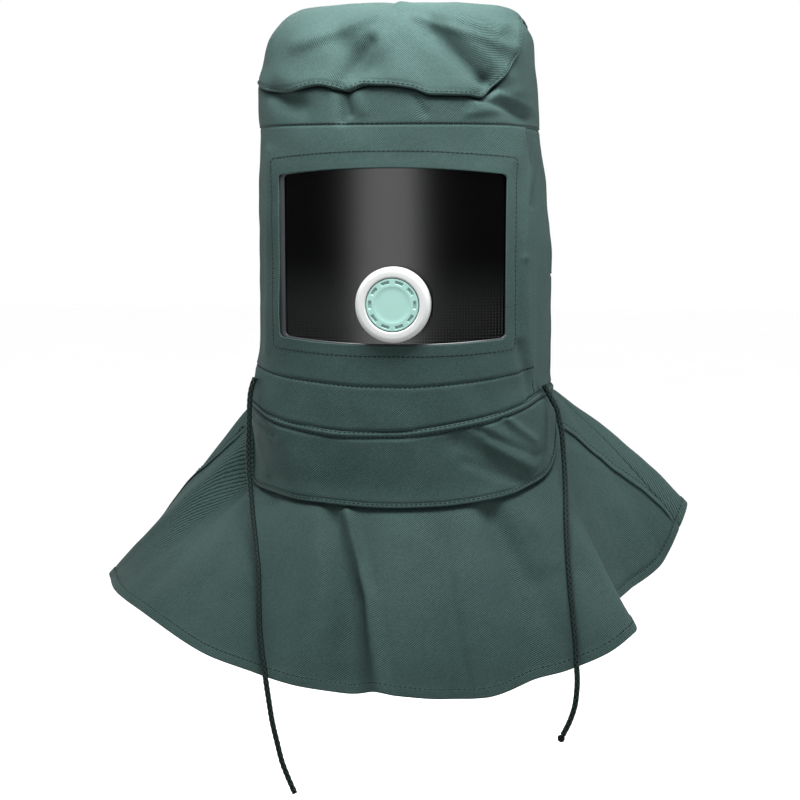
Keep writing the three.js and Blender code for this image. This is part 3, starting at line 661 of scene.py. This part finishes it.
def lathe(name, profile, segments, material, nodes, seat):
    """Solid turned round the valve's axis; profile is radius and height out of the face."""
    radius, height = np.array(profile).T[..., None]
    x, z = on_valve(radius, full_turn(segments))
    vertices = np.stack([x, np.broadcast_to(seat - height, x.shape), z], -1)
    faces = grid_faces(len(profile) + 1, segments) % (len(profile) * segments)
    piece(name, vertices, faces[:, ::-1], material, nodes)


# Stitches

def stitch_shape(sides=6):
    """Points and faces of one stitch, a thread that dives at both ends."""
    along, size = np.array([(-0.5, 0.05), (-0.42, 0.75), (-0.15, 1), (0.15, 1), (0.42, 0.75),
                            (0.5, 0.05)]).T[..., None]
    turns = full_turn(sides)
    rings = np.broadcast_arrays(along, size * np.cos(turns), size * np.sin(turns))
    return np.stack(rings, -1).reshape(-1, 3), tube_faces(len(along), sides, False)


def at_length(rows, length, places):
    return np.stack([np.interp(places, length, rows[:, i]) for i in range(3)], -1)


def stitches(name, lines):
    """One mesh of all stitches along the given lines of (points, normals)."""
    shape, shape_faces = stitch_shape()
    bodies = []
    pitch = STITCH_LENGTH + STITCH_GAP
    for points, normals in lines:
        length = run_length(points[:, None])[:, 0]
        middles = np.arange(pitch / 2, length[-1], pitch)
        ahead = unit(at_length(points, length, middles + STITCH_REACH)
                     - at_length(points, length, middles - STITCH_REACH))
        up = at_length(normals, length, middles)
        up = unit(up - ahead * (up * ahead).sum(-1, keepdims=True))
        side = np.cross(up, ahead)
        centre = at_length(points, length, middles) - up * STITCH_SINK
        bodies.append(centre[:, None] + shape[:, :1] * STITCH_LENGTH * ahead[:, None]
                      + shape[:, 1:2] * STITCH_WIDTH * side[:, None]
                      + shape[:, 2:] * STITCH_WIDTH * up[:, None])
    vertices = np.concatenate(bodies)
    faces = shape_faces + np.arange(len(vertices))[:, None, None] * len(shape)
    piece(name, vertices, faces.reshape(-1, 4), THREAD)


def grid_line(points, inset, axis, closed=False):
    """Line on a grid at a distance in metres from its first edge, or from its far edge if negative."""
    both = np.concatenate([points, grid_normals(points, closed)], -1)
    if axis == 1:
        both = np.swapaxes(both, 0, 1)
    length = run_length(both[..., :3])
    goals = length[-1] * (inset < 0) + inset
    line = np.array([[np.interp(goal, length[:, j], both[:, j, k]) for k in range(6)]
                     for j, goal in enumerate(goals)])
    if closed:
        line = np.concatenate([line, line[:1]])
    return line[:, :3], line[:, 3:]


# Materials

class Nodes:
    """Small helper that adds linked nodes to a material."""

    def __init__(self, name):
        self.material = bpy.data.materials.new(name)
        self.material.use_nodes = True
        self.tree = self.material.node_tree
        self.shader = self.tree.nodes["Principled BSDF"]
        self.where = self.add("ShaderNodeTexCoord").outputs["Object"]

    def add(self, kind, inputs=(), **settings):
        node = self.tree.nodes.new(kind)
        for key, value in settings.items():
            setattr(node, key, value)
        for key, value in dict(inputs).items():
            self.put(node, key, value)
        return node

    def put(self, node, key, value):
        if isinstance(value, bpy.types.NodeSocket):
            self.tree.links.new(value, node.inputs[key])
        else:
            node.inputs[key].default_value = value

    def math(self, operation, a, b=0.0):
        return self.add("ShaderNodeMath", {0: a, 1: b}, operation=operation).outputs[0]

    def plus(self, a, b):
        return self.math("ADD", a, b)

    def times(self, a, b):
        return self.math("MULTIPLY", a, b)

    def waves(self, run, pitch):
        return self.math("SINE", self.times(run, 2 * math.pi / pitch))

    def noise(self, scale, detail):
        node = self.add("ShaderNodeTexNoise", {"Vector": self.where, "Scale": scale, "Detail": detail})
        return node.outputs["Fac"]

    def ramp(self, factor, *stops):
        node = self.add("ShaderNodeValToRGB", {"Fac": factor})
        while len(node.color_ramp.elements) < len(stops):
            node.color_ramp.elements.new(0.5)
        for element, (position, color) in zip(node.color_ramp.elements, stops):
            element.position = position
            element.color = (*color, 1)
        return node.outputs["Color"]

    def span(self, factor, low, high):
        node = self.add("ShaderNodeMapRange", {"Value": factor, "To Min": low, "To Max": high})
        return node.outputs["Result"]

    def weave(self):
        """Place across and down in the flat cloth."""
        node = self.add("ShaderNodeAttribute", attribute_name="weave")
        return self.add("ShaderNodeSeparateXYZ", {0: node.outputs["Vector"]}).outputs[:2]

    def surface(self, color, roughness, specular=0.5):
        self.put(self.shader, "Base Color", color)
        self.put(self.shader, "Roughness", roughness)
        self.shader.inputs["Specular IOR Level"].default_value = specular

    def bump(self, height, distance, strength=1.0):
        node = self.add("ShaderNodeBump", {"Height": height, "Distance": distance, "Strength": strength})
        self.put(self.shader, "Normal", node.outputs["Normal"])


def twill_height(nodes, lean, pitch):
    """Height of a twill: slanting wales broken up by the single threads."""
    across, down = nodes.weave()
    slant = nodes.plus(nodes.times(down, lean), across)
    uneven = nodes.times(nodes.noise(300, 2), 4)
    wales = nodes.math("SINE", nodes.plus(nodes.times(slant, 2 * math.pi / pitch), uneven))
    threads = nodes.times(nodes.waves(across, pitch / 2), nodes.waves(down, pitch / 2))
    return nodes.plus(nodes.times(nodes.plus(wales, nodes.times(threads, 0.6)), 0.3), 0.5)


def canvas_material():
    nodes = Nodes("canvas_twill")
    height = twill_height(nodes, 1.0, CANVAS_PITCH)
    fine = nodes.noise(420, 2)
    shade = nodes.plus(nodes.times(height, 0.9), nodes.times(nodes.noise(9, 2), 0.35))
    shade = nodes.plus(shade, nodes.times(fine, 0.35))
    color = nodes.ramp(shade, (0.5, (0.0048, 0.0097, 0.0089)), (1.0, (0.0268, 0.047, 0.0437)))
    nodes.surface(color, nodes.span(fine, 0.66, 0.9), 0.03)
    nodes.bump(nodes.plus(height, nodes.times(fine, 0.6)), 0.0004, 0.7)
    return nodes.material


def thread_material():
    nodes = Nodes("dark_thread")
    fibre = nodes.noise(900, 2)
    color = nodes.ramp(fibre, (0.3, (0.001, 0.003, 0.0025)), (0.8, (0.005, 0.012, 0.01)))
    nodes.surface(color, nodes.span(fibre, 0.6, 0.85), 0.1)
    nodes.bump(fibre, 0.0001)
    return nodes.material


def lining_material():
    nodes = Nodes("black_twill")
    height = twill_height(nodes, -1.0, LINING_PITCH)
    color = nodes.ramp(height, (0, (0.002, 0.0025, 0.0025)), (1, (0.012, 0.014, 0.014)))
    nodes.surface(color, nodes.span(nodes.noise(500, 2), 0.6, 0.85))
    nodes.bump(height, 0.0003)
    return nodes.material


def pane_material():
    """Dark see-through sheet: the weave behind it shows in its gloss; light specks in the weave's pattern,
    growing towards the sheet's foot, are painted glints.
    """
    nodes = Nodes("window_sheet")
    height = twill_height(nodes, -1.0, LINING_PITCH)
    across, down = nodes.weave()
    # Painted glints: light specks laid out in the weave's pattern, none in the upper part of the sheet and
    # brighter towards its foot
    low = nodes.span(nodes.times(nodes.math("SUBTRACT", down, GLINT_DOTS_TOP), GLINT_DOTS_GROWTH), 0, 1)
    rising = nodes.waves(nodes.plus(across, down), GLINT_DOTS_PITCH)
    falling = nodes.waves(nodes.math("SUBTRACT", across, down), GLINT_DOTS_PITCH)
    glint_dots = nodes.times(nodes.times(rising, falling), low)
    color = nodes.ramp(glint_dots, (0.4, (0.0002, 0.00022, 0.00022)), (0.85, (0.017, 0.018, 0.018)))
    rough = nodes.plus(nodes.span(height, 0.18, 0.27), nodes.times(nodes.noise(900, 1), 0.03))
    nodes.surface(color, rough, 0.022)
    nodes.shader.inputs["Alpha"].default_value = 0.94
    nodes.bump(height, 0.0001, 0.3)
    return nodes.material


def plastic_material(name, color, roughness, mottle, specular):
    nodes = Nodes(name)
    grain = nodes.noise(1400, 2)
    low = tuple(c * (1 - mottle) for c in color)
    cloud = nodes.ramp(nodes.noise(60, 3), (0.3, low), (0.7, color))
    nodes.surface(cloud, nodes.span(grain, roughness - 0.05, roughness + 0.08), specular)
    nodes.bump(grain, 0.00002)
    return nodes.material


def cord_material():
    """Round braid: two sets of strands wound against each other, with lighter threads among them."""
    nodes = Nodes("braided_cord")
    turn, along = nodes.weave()
    turns = nodes.times(turn, BRAID_STRANDS)
    phase = nodes.times(along, 2 * math.pi / BRAID_PITCH)
    strands = nodes.math("MAXIMUM", nodes.math("SINE", nodes.plus(turns, phase)),
                         nodes.math("SINE", nodes.math("SUBTRACT", turns, phase)))
    fibre = nodes.noise(1200, 2)
    shade = nodes.plus(nodes.times(strands, 0.55), nodes.times(fibre, 0.5))
    color = nodes.ramp(shade, (0.1, (0.0003, 0.0006, 0.0006)), (0.6, (0.0012, 0.003, 0.0026)),
                       (0.95, (0.014, 0.03, 0.026)))
    nodes.surface(color, nodes.span(fibre, 0.5, 0.8), 0.05)
    nodes.bump(shade, 0.0002)
    return nodes.material


def floor_material():
    nodes = Nodes("pale_floor")
    cloud = nodes.noise(2, 2)
    nodes.surface(nodes.ramp(cloud, (0.2, (0.985, 0.985, 0.985)), (0.8, (0.995, 0.995, 0.995))),
                  nodes.span(cloud, 0.8, 0.9))
    return nodes.material


CANVAS = canvas_material()
THREAD = thread_material()
LINING = lining_material()
PANE = pane_material()
TRIM = plastic_material("grey_edging", (0.016, 0.018, 0.019), 0.3, 0.04, 0.2)
WHITE = plastic_material("white_plastic", (0.25, 0.259, 0.256), 0.46, 0.02, 0.3)
MINT = plastic_material("mint_plastic", (0.138, 0.236, 0.212), 0.44, 0.03, 0.3)
CORD = cord_material()


# Camera and cords

def camera():
    data = bpy.data.cameras.new("photo_camera")
    data.lens = CAMERA_LENS
    data.sensor_width = 36
    obj = new_object("photo_camera", data)
    turn = math.radians(CAMERA_AZIMUTH)
    rise = math.radians(CAMERA_ELEVATION)
    away = Vector((math.sin(turn) * math.cos(rise), -math.cos(turn) * math.cos(rise), math.sin(rise)))
    obj.location = Vector(CAMERA_TARGET) + away * CAMERA_DISTANCE
    obj.rotation_euler = (-away).to_track_quat("-Z", "Y").to_euler()
    bpy.context.scene.camera = obj


def smooth_route(route, per_span):
    """Points on a smooth curve through the route's points."""
    rows = np.array(route)
    rows = np.concatenate([2 * rows[:1] - rows[1:2], rows, 2 * rows[-1:] - rows[-2:-1]])
    line = []
    for i in range(1, len(rows) - 2):
        p0, p1, p2, p3 = rows[i - 1:i + 3]
        for t in np.arange(per_span) / per_span:
            line.append(0.5 * (2 * p1 + (p2 - p0) * t + (2 * p0 - 5 * p1 + 4 * p2 - p3) * t ** 2
                               + (3 * p1 - p0 - 3 * p2 + p3) * t ** 3))
    line.append(rows[-2])
    return np.array(line)


def cross_axes(ahead):
    side = unit(np.cross(ahead, np.array([0, 1, 0.2])))
    return side, np.cross(side, ahead)


def braided_cord(name, node, route, sides=20):
    line = smooth_route(route, 22)
    side, up = cross_axes(unit(np.gradient(line, axis=0)))
    along = run_length(line[:, None])
    turns = full_turn(sides)
    phase = along * 2 * np.pi / BRAID_PITCH
    strands = np.maximum(np.sin(BRAID_STRANDS * turns + phase), np.sin(BRAID_STRANDS * turns - phase))
    radius = CORD_DIAMETER / 2 * (0.9 + 0.1 * strands)
    outward = side[:, None] * np.cos(turns)[:, None] + up[:, None] * np.sin(turns)[:, None]
    return piece(name, line[:, None] + outward * radius[..., None], tube_faces(len(line), sides), CORD,
                 (node,), weave_map(turns, along))


def melted_knob(name, node, route, rings=14, sides=20):
    """Melted end: a squat round bead with small lumps round it."""
    end = np.array(route[-1])
    ahead = unit(end - np.array(route[-2]))
    side, up = cross_axes(ahead)
    centre = end + ahead * (KNOB_DIAMETER / 2 + CLOTH_GAP)
    polar = (np.pi * np.arange(rings + 1) / rings)[:, None, None]
    turn = full_turn(sides)[:, None]
    size = KNOB_DIAMETER / 2 * (1 + 0.05 * np.sin(3 * turn + polar * 4))
    places = (centre - ahead * size * np.cos(polar) * 0.98
              + (side * np.cos(turn) + up * np.sin(turn)) * size * np.maximum(np.sin(polar), 0.02))
    faces = tube_faces(rings + 1, sides, False)
    return piece(name, places, faces, CORD, (node,), np.zeros(places.shape))


camera()
left_cord = braided_cord("cord_left_braid", "cord_left", LEFT_CORD)
right_cord = braided_cord("cord_right_braid", "cord_right", RIGHT_CORD)
knob = melted_knob("cord_knob_melted", "cord_knob", RIGHT_CORD)


# Canvas panels

def panel_grid(angles, shares, top, foot):
    """Points of the skin between two drops, each one value or a value for every angle."""
    down = shares[:, None]
    drop = np.broadcast_to(top * (1 - down) + foot * down, (len(shares), len(angles)))
    return skin(angles, step_at(drop))


def soft_relief(points):
    """Height of the fine folds and of the cloth's small uneven swells."""
    swell = wrinkles(points, SWELL_SIZE, 3) + 0.5 * wrinkles(points, SWELL_SIZE * 0.42, 10)
    return line_folds(points, FINE_FOLDS) + line_folds(points, BACK_FOLDS, 1) + swell * SWELL


def wrinkles(points, size, shift):
    values = [noise.noise(Vector(place)) for place in points.reshape(-1, 3) / size + shift]
    return np.array(values).reshape(points.shape[:-1])


def soften(points, closed=False):
    return points + grid_normals(points, closed) * soft_relief(points)[..., None]


def around(count):
    return -180 + 360 * np.arange(count) / count


def flat_at_sides(angles, right):
    """Share by which the lid's edge lies flat against the band, at the left and the right side."""
    return bell(wrapped(angles + 80), 28) + right * bell(wrapped(angles - 95), 45)


def crown():
    angles = around(300)
    points = soften(skin(angles, step_at(edge_drop(LID_EDGE, angles)) * dense_end(64)[:, None]), True)
    down = run_length(points)
    lift = LID_LIFT * bell(down[-1:] - down, 0.012) * (1 - flat_at_sides(angles, 0.8))
    turn = np.radians(angles)
    obj, outer = cloth_shell("crown_top_cloth", ("crown_top",), points, ("", "hem", "", ""), CANVAS,
                             closed=True, thickness=LINED_CLOTH, lift=lift, hem=LID_HEM,
                             weave=weave_map(down * np.sin(turn), down * np.cos(turn)))
    close_pole(obj.data)
    lines = [grid_line(outer, -LID_HEM, 0, True)]

    under_lid = edge_drop(LID_EDGE, angles) - LID_OVERLAP
    points = soften(panel_grid(angles, dense_ends(34), under_lid, BAND_SEAM), True)
    down = run_length(points)
    lift = -BAND_DIP * bell(down, 0.0075) * (1 - flat_at_sides(angles, 1))
    lift -= BAND_TUCK_IN * (1 - smooth_step(down, LID_OVERLAP + 0.0004, LID_OVERLAP + 0.0018))
    obj, outer = cloth_shell("crown_band_cloth", ("crown_band",), points, ("", "seam", "", ""), CANVAS,
                             closed=True, lift=lift)
    lines.append(grid_line(outer, -SEAM_STITCH, 0, True))
    stitches("crown_stitches", lines)


def outline(margins, per_side=60):
    """Window outline grown by the margins: four runs of x and z, from the top left corner clockwise."""
    left, right, top, foot = margins
    x0 = -WINDOW_HALF - left
    x1 = WINDOW_HALF + right
    z1 = -WINDOW_TOP + top
    z0 = -WINDOW_TOP - WINDOW_HEIGHT - foot
    arcs = np.radians(np.linspace(45, 0, 8)[:-1])
    corner = WINDOW_CORNER * np.stack([1 - np.sin(arcs), np.cos(arcs) - 1], -1)

    def run(start, end, rise, arch=0.0):
        """Side between two corners, as seen with the outside upwards."""
        across = np.linspace(start + WINDOW_CORNER, end - WINDOW_CORNER, per_side - 2 * len(arcs))
        rows = np.concatenate([corner + [start, rise], np.stack([across, np.full(len(across), rise)], -1),
                               corner[::-1] * [-1, 1] + [end, rise]])
        rows[:, 1] -= arch * (2 * (rows[:, 0] - start) / (end - start) - 1) ** 2
        return rows

    right_side = run(z0 + WINDOW_ARCH, z1 - WINDOW_ARCH, x1)[::-1, ::-1]
    left_side = run(z0 + WINDOW_ARCH, z1 - WINDOW_ARCH, -x0)[:, ::-1] * [-1, 1]
    lower = run(x0, x1, -z0, WINDOW_ARCH)[::-1] * [1, -1]
    return np.concatenate([run(x0, x1, z1, WINDOW_ARCH), right_side, lower, left_side])


def face_border(per_side):
    """The face panel's own border as angle and drop, in the same four runs."""
    edge = FACE_EDGE - SEAM_GAP
    top = BAND_SEAM - TUCK
    share = np.linspace(0, 1, per_side + 1)[:-1]
    across = spread(-edge, edge, share)
    left_foot, right_foot = edge_drop(FACE_FOOT, np.array([-FACE_EDGE, FACE_EDGE]))
    runs = [(across, top), (edge, spread(top, right_foot, share)),
            (-across, edge_drop(FACE_FOOT, -across)), (-edge, spread(left_foot, top, share))]
    return np.concatenate([np.stack(np.broadcast_arrays(*run), -1) for run in runs])


def face(per_side=88):
    opening = outline(OPENING_MARGINS, per_side)
    inner = np.stack([face_angle(opening[:, 0], opening[:, 1]), -opening[:, 1]], -1)
    grid = spread(inner, face_border(per_side), dense_ends(40)[:, None, None])
    points = soften(skin(grid[..., 0], step_at(grid[..., 1]))[::-1], True)
    obj, _ = cloth_shell("face_cloth", ("face_panel",), points, ("seam", "edge", "", ""), CANVAS,
                             closed=True, weave=weave_map(points[..., 0] * 1.05, -points[..., 2]))
    stitched = outline(STITCHED_MARGINS)
    x, z = np.concatenate([stitched, stitched[:1]]).T
    angle = face_angle(x, z)
    line = skin(angle, step_at(-z))
    up = surface_normal(skin, angle, step_at(-line[:, 2]))
    stitches("face_stitches", [(line + up * soft_relief(line)[:, None], up)])


def window_ring(name, nodes, inner, outer, inset, thickness, material, rows):
    """Sheet between two outlines of x and z, behind the face."""
    flat = spread(inner, outer, np.linspace(0, 1, rows)[:, None, None])
    x, z = flat[..., 0], flat[..., 1]
    points = skin_inside(face_angle(x, z, inset), step_at(-z), inset)[::-1]
    cloth_shell(name, nodes, points, ("", "", "", ""), material, closed=True, thickness=thickness,
                weave=weave_map(points[..., 0], -points[..., 2]))


def window():
    window_ring("window_edging", ("window_trim",), outline(TRIM_LIP), outline(TRIM_HOLD), TRIM_INSET,
                TRIM_THICKNESS, TRIM, 6)
    rim = outline(PANE_MARGINS)
    centre = np.array([VALVE_X, VALVE_Z])
    hole = centre + unit(rim - centre) * (SPIGOT_RADIUS + SPIGOT_GAP)
    window_ring("window_sheet", ("window_pane",), hole, rim, PANE_INSET, PANE_THICKNESS, PANE, 40)


def rounding(x, y, radius, start, end, count):
    turns = np.radians(np.linspace(start, end, count))
    return [(x + radius * math.cos(t), y + radius * math.sin(t)) for t in turns]


def valve():
    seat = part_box("valve_body")[1].y - SPIGOT_LENGTH
    inner = CAP_RADIUS + CAP_GAP
    profile = [(SPIGOT_BORE, -SPIGOT_LENGTH), (SPIGOT_RADIUS, -SPIGOT_LENGTH), (SPIGOT_RADIUS, 0)]
    profile += rounding(VALVE_RADIUS - 0.0008, 0.0008, 0.0008, -90, 0, 4)
    profile += rounding(VALVE_RADIUS - 0.0045, VALVE_HEIGHT - 0.0045, 0.0045, 0, 90, 10)
    profile += rounding(inner + 0.0016, VALVE_HEIGHT - 0.0016, 0.0016, 90, 180, 6)
    profile += [(inner, VALVE_FLOOR), (SPIGOT_BORE, VALVE_FLOOR)]
    lathe("valve_ring", profile, 120, WHITE, ("valve_body",), seat)

    base = VALVE_FLOOR + CLOTH_GAP
    rim = CAP_RADIUS - CAP_ROUND + CAP_ROUND * np.sin(np.radians([40, 60, 75, 90]))
    radii = np.concatenate([[0.0002, 0.0003, 0.0006], np.linspace(0.0015, 0.0155, 8),
                            np.linspace(0.016, 0.0226, 34), rim])
    turns = full_turn(300)
    pitch = 2 * np.pi / SLOTS
    aside = np.abs(np.mod(turns - np.pi / 2, pitch) - pitch / 2) * SLOT_RING
    slot_across = 1 - smooth_step(aside, *SLOT_HALF_WIDTH)
    slot_along = 1 - smooth_step(np.abs(radii - SLOT_RING), *SLOT_HALF_DEPTH)
    edge_fall = rounded(radii - CAP_RADIUS + CAP_ROUND, CAP_ROUND)
    raised = smooth_step(radii, 0.0145, 0.016) * (1 - smooth_step(radii, 0.0225, 0.0229))
    height = base + CAP_HEIGHT + CAP_RISE * (raised - 1) - edge_fall
    height = height[:, None] - SLOT_DEPTH * slot_along[:, None] * slot_across
    x, z = on_valve(radii[:, None], turns)
    layers = [np.stack([x, np.broadcast_to(seat - rise, x.shape), z], -1) for rise in (height, base)]
    piece("valve_cap_mint", np.stack(layers), shell_faces(*x.shape, True), MINT, ("valve_cap",))

    hole = SPIGOT_RADIUS + SPIGOT_GAP
    profile = [(hole, -NUT_THICKNESS), (NUT_RADIUS - NUT_BEVEL, -NUT_THICKNESS),
               (NUT_RADIUS, -NUT_THICKNESS + NUT_BEVEL), (NUT_RADIUS, 0), (hole, 0)]
    lathe("valve_back_ring", profile, 60, WHITE, ("valve_nut",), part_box("valve_nut")[0].y)


def side_and_back():
    lines = []
    for side, start, end in (("left", -GUSSET_EDGE, -FACE_EDGE), ("right", FACE_EDGE, GUSSET_EDGE)):
        angles = spread(start - TUCK_ANGLE, end + TUCK_ANGLE, dense_ends(26))
        points = soften(panel_grid(angles, dense_ends(120, 0.1), BAND_SEAM - TUCK,
                                   edge_drop(NECK_SEAM, angles) + TUCK))
        obj, outer = cloth_shell(f"side_{side}_cloth", (f"side_{side}",), points, ("tuck",) * 4, CANVAS)
        lines += [grid_line(outer, SEAM_STITCH, 1), grid_line(outer, -SEAM_STITCH, 1)]
    angles = spread(GUSSET_EDGE + SEAM_GAP, 360 - GUSSET_EDGE - SEAM_GAP, dense_ends(150, 0.1))
    backs = (("back_upper", BAND_SEAM - TUCK, BACK_SEAM, (0.44, 0.133)),
             ("back_lower", BACK_SEAM - TUCK, edge_drop(NECK_SEAM, angles), (0.44, 0.112)))
    for node, top, foot, flat in backs:
        points = soften(panel_grid(angles, dense_ends(54), top, foot))
        obj, outer = cloth_shell(f"{node}_cloth", (node,), points, ("tuck", "seam", "seam", "seam"), CANVAS)
        lines.append(grid_line(outer, BACK_STITCH, 0))
        if node == "back_upper":
            lines.append(grid_line(outer, -BACK_STITCH, 0))
    stitches("side_stitches", lines)


def lining():
    angles = spread(GUSSET_EDGE + SEAM_GAP, 360 - GUSSET_EDGE - SEAM_GAP, np.linspace(0, 1, 90))
    drop = np.broadcast_to(np.linspace(BAND_SEAM, LINING_FOOT, 60)[:, None], (60, 90))
    points = skin_inside(angles, step_at(drop), LINING_INSET)
    obj, _ = cloth_shell("inner_lining_cloth", ("inner_lining",), points, ("", "", "", ""), LINING,
                             thickness=LINING_CLOTH)


def neck():
    angles = spread(-FACE_EDGE + SEAM_GAP, FACE_EDGE - SEAM_GAP, dense_ends(150, 0.08))
    points = soften(panel_grid(angles, dense_ends(30), edge_drop(FACE_FOOT, angles) - TUCK,
                               edge_drop(NECK_SEAM, angles)))
    obj, outer = cloth_shell("chin_band_cloth", ("chin_band",), points, ("tuck", "seam", "tuck", "tuck"),
                             CANVAS)
    lines = [grid_line(outer, SEAM_STITCH, 0)]

    angles = around(320)
    seam = edge_drop(NECK_SEAM, angles)
    shares = np.linspace(0, 1, 16)
    lift = 0.0002 + 0.0006 * np.sin(np.pi * shares)[:, None]
    obj, outer = cloth_shell("neck_casing_cloth", ("neck_casing",),
                             panel_grid(angles, shares, seam + CLOTH_GAP, seam + CASING),
                             ("seam", "seam", "", ""), CANVAS, closed=True, lift=lift, thickness=FOLDED_CLOTH)
    lines += [grid_line(outer, CASING_STITCH, 0, True), grid_line(outer, -CASING_STITCH, 0, True)]

    angles = spread(BIB_LEFT + SEAM_GAP, BIB_RIGHT - SEAM_GAP, dense_ends(220, 0.05))
    points = soften(panel_grid(angles, dense_ends(56), edge_drop(NECK_SEAM, angles) + CASING + BIB_GAP,
                               edge_drop(BIB_FOOT, angles)))
    down = run_length(points)
    obj, outer = cloth_shell("bib_cloth", ("bib",), points, ("seam", "hem", "", ""), CANVAS,
                             lift=BIB_LIFT * bell(down[-1:] - down, 0.012), thickness=LINED_CLOTH, hem=BIB_HEM)
    lines.append(grid_line(outer, -BIB_HEM, 0))
    stitches("neck_stitches", lines)


def cape_shares(rows):
    """Shares from the neck to the hem, close together along the hem's stitches and its rounded edge."""
    before = np.linspace(0, 1 - HEM_ROWS_START / CAPE_LENGTH, rows)
    return np.concatenate([before, 1 - HEM_ROWS / CAPE_LENGTH])


def cape_grid(angles, shares):
    along = shares[:, None]
    points = cape_skin(angles, along)
    relief = 0
    for neck_angle, middle, hem_angle, top, width, depth in CAPE_CREASES:
        line = np.interp(along, [0, 0.5, 1], [neck_angle, middle, hem_angle])
        begun = smooth_step(along, top - 0.04, top + 0.1)
        relief = relief + depth * begun * bell(wrapped(angles - line), width)
    return points + grid_normals(points) * relief[..., None]


def sample(grid, rows, columns, row, column):
    """Points of a grid at fractional places of its rows and columns."""
    i = np.interp(row, rows, np.arange(len(rows)))
    j = np.interp(column, columns, np.arange(len(columns)))
    i0 = np.clip(i.astype(int), 0, len(rows) - 2)
    j0 = np.clip(j.astype(int), 0, len(columns) - 2)
    t = (j - j0)[:, None]
    near = spread(grid[i0, j0], grid[i0, j0 + 1], t)
    far = spread(grid[i0 + 1, j0], grid[i0 + 1, j0 + 1], t)
    return spread(near, far, (i - i0)[:, None])


def lap(name, grid, shares, angles, places, width, rise, toward_angle, count=140):
    """Lapped seam: a thin tongue of cloth with a free edge along the line and its other side in the cape."""
    along = np.linspace(places[0, 1], places[-1, 1], count)
    angle = np.interp(along, places[:, 1], places[:, 0])
    line = sample(grid, shares, angles, along, angle)
    aside = sample(grid, shares, angles, along, angle + toward_angle)
    normals = sample(grid_normals(grid), shares, angles, along, angle)
    ahead = unit(np.gradient(line, axis=0))
    toward = unit(aside - line)
    toward = unit(toward - ahead * (toward * ahead).sum(-1, keepdims=True))
    taper = np.minimum(1, np.minimum(np.arange(count), np.arange(count)[::-1]) / 14)[:, None]
    out = LAP_SECTION[:, 0] * width
    up = LAP_SECTION[:, 1] * rise + LAP_SECTION[:, 2]
    up = np.maximum(up, 0) * taper + np.minimum(up, 0)
    place = line[:, None] + toward[:, None] * out[:, None] + normals[:, None] * up[..., None]
    weave = weave_map(out, run_length(line[:, None]))
    piece(name, place, tube_faces(count, len(out)), CANVAS, (), weave)
    return line + toward * width * 0.62 + normals * rise * 0.5, normals


def cape():
    lines = []
    halves = (("cape_front", SHOULDER_LEFT, SHOULDER_RIGHT, 400, (0.86, 0.27), 0.125),
              ("cape_back", SHOULDER_RIGHT, 360 + SHOULDER_LEFT, 260, (0.75, 0.27), 0.112))
    shares = cape_shares(60)
    for node, start, end, count, flat, area in halves:
        angles = spread(start, end, dense_ends(count, 0.06))
        tucked = skin_inside(angles, step_at(cape_start(angles) - TUCKED_ROWS), HEM_SET)
        points = np.concatenate([tucked, soften(cape_grid(angles, shares))])
        down = run_length(points)
        below = down - down[len(tucked)]
        radius = CONE_START + down
        turn = np.radians(angles - (start + end) / 2) * CONE_SHARE
        obj, outer = cloth_shell(f"{node}_cloth", (node,), points, ("", "hem", "seam", "seam"), CANVAS,
                                 thickness=FOLDED_CLOTH, hem=CAPE_HEM,
                                 weave=weave_map(radius * np.sin(turn), radius * np.cos(turn)),
                                 lift=-NECK_DIP * bell(np.maximum(below, 0), 0.0022))
        lines.append(grid_line(outer, -CAPE_HEM, 0))
        if node == "cape_front":
            shown = outer[len(tucked):]
            lines += [lap("shoulder_lap_right", shown, shares, angles, RIGHT_LAP, 0.0095, 0.0024, 1.5),
                      lap("shoulder_lap_left", shown, shares, angles, LEFT_LAP, 0.008, 0.0018, -1.5)]
        else:
            lines.append(grid_line(outer, -SHOULDER_STITCH, 1))
    stitches("cape_stitches", lines)


crown()
face()
window()
valve()
side_and_back()
lining()
neck()
cape()


# Floor and light

def stage():
    corners = [(x * FLOOR_REACH, y * FLOOR_REACH, FLOOR_LEVEL)
               for x, y in ((-1, -1), (1, -1), (1, 1), (-1, 1))]
    mesh = bpy.data.meshes.new("floor")
    mesh.from_pydata(corners, [], [(0, 1, 2, 3)])
    mesh.materials.append(floor_material())
    new_object("floor", mesh)


def area_light(name, place, target, width, height, power):
    data = bpy.data.lights.new(name, "AREA")
    data.shape = "RECTANGLE"
    data.size = width
    data.size_y = height
    data.energy = power
    obj = new_object(name, data)
    obj.location = place
    obj.rotation_euler = (Vector(target) - Vector(place)).to_track_quat("-Z", "Y").to_euler()
    return obj


def lights():
    world = bpy.data.worlds.new("studio")
    bpy.context.scene.world = world
    world.use_nodes = True
    world.node_tree.nodes["Background"].inputs["Color"].default_value = (1, 1, 1, 1)
    world.node_tree.nodes["Background"].inputs["Strength"].default_value = 1.0
    for row in LIGHTS:
        area_light(*row)
    strip = area_light(*STRIP_LIGHT)
    lit = bpy.data.collections.new("lit_by_strip")
    lit.objects.link(bpy.data.objects["window_sheet"])
    strip.light_linking.receiver_collection = lit
    bpy.context.scene.view_settings.view_transform = "Standard"


stage()
lights()
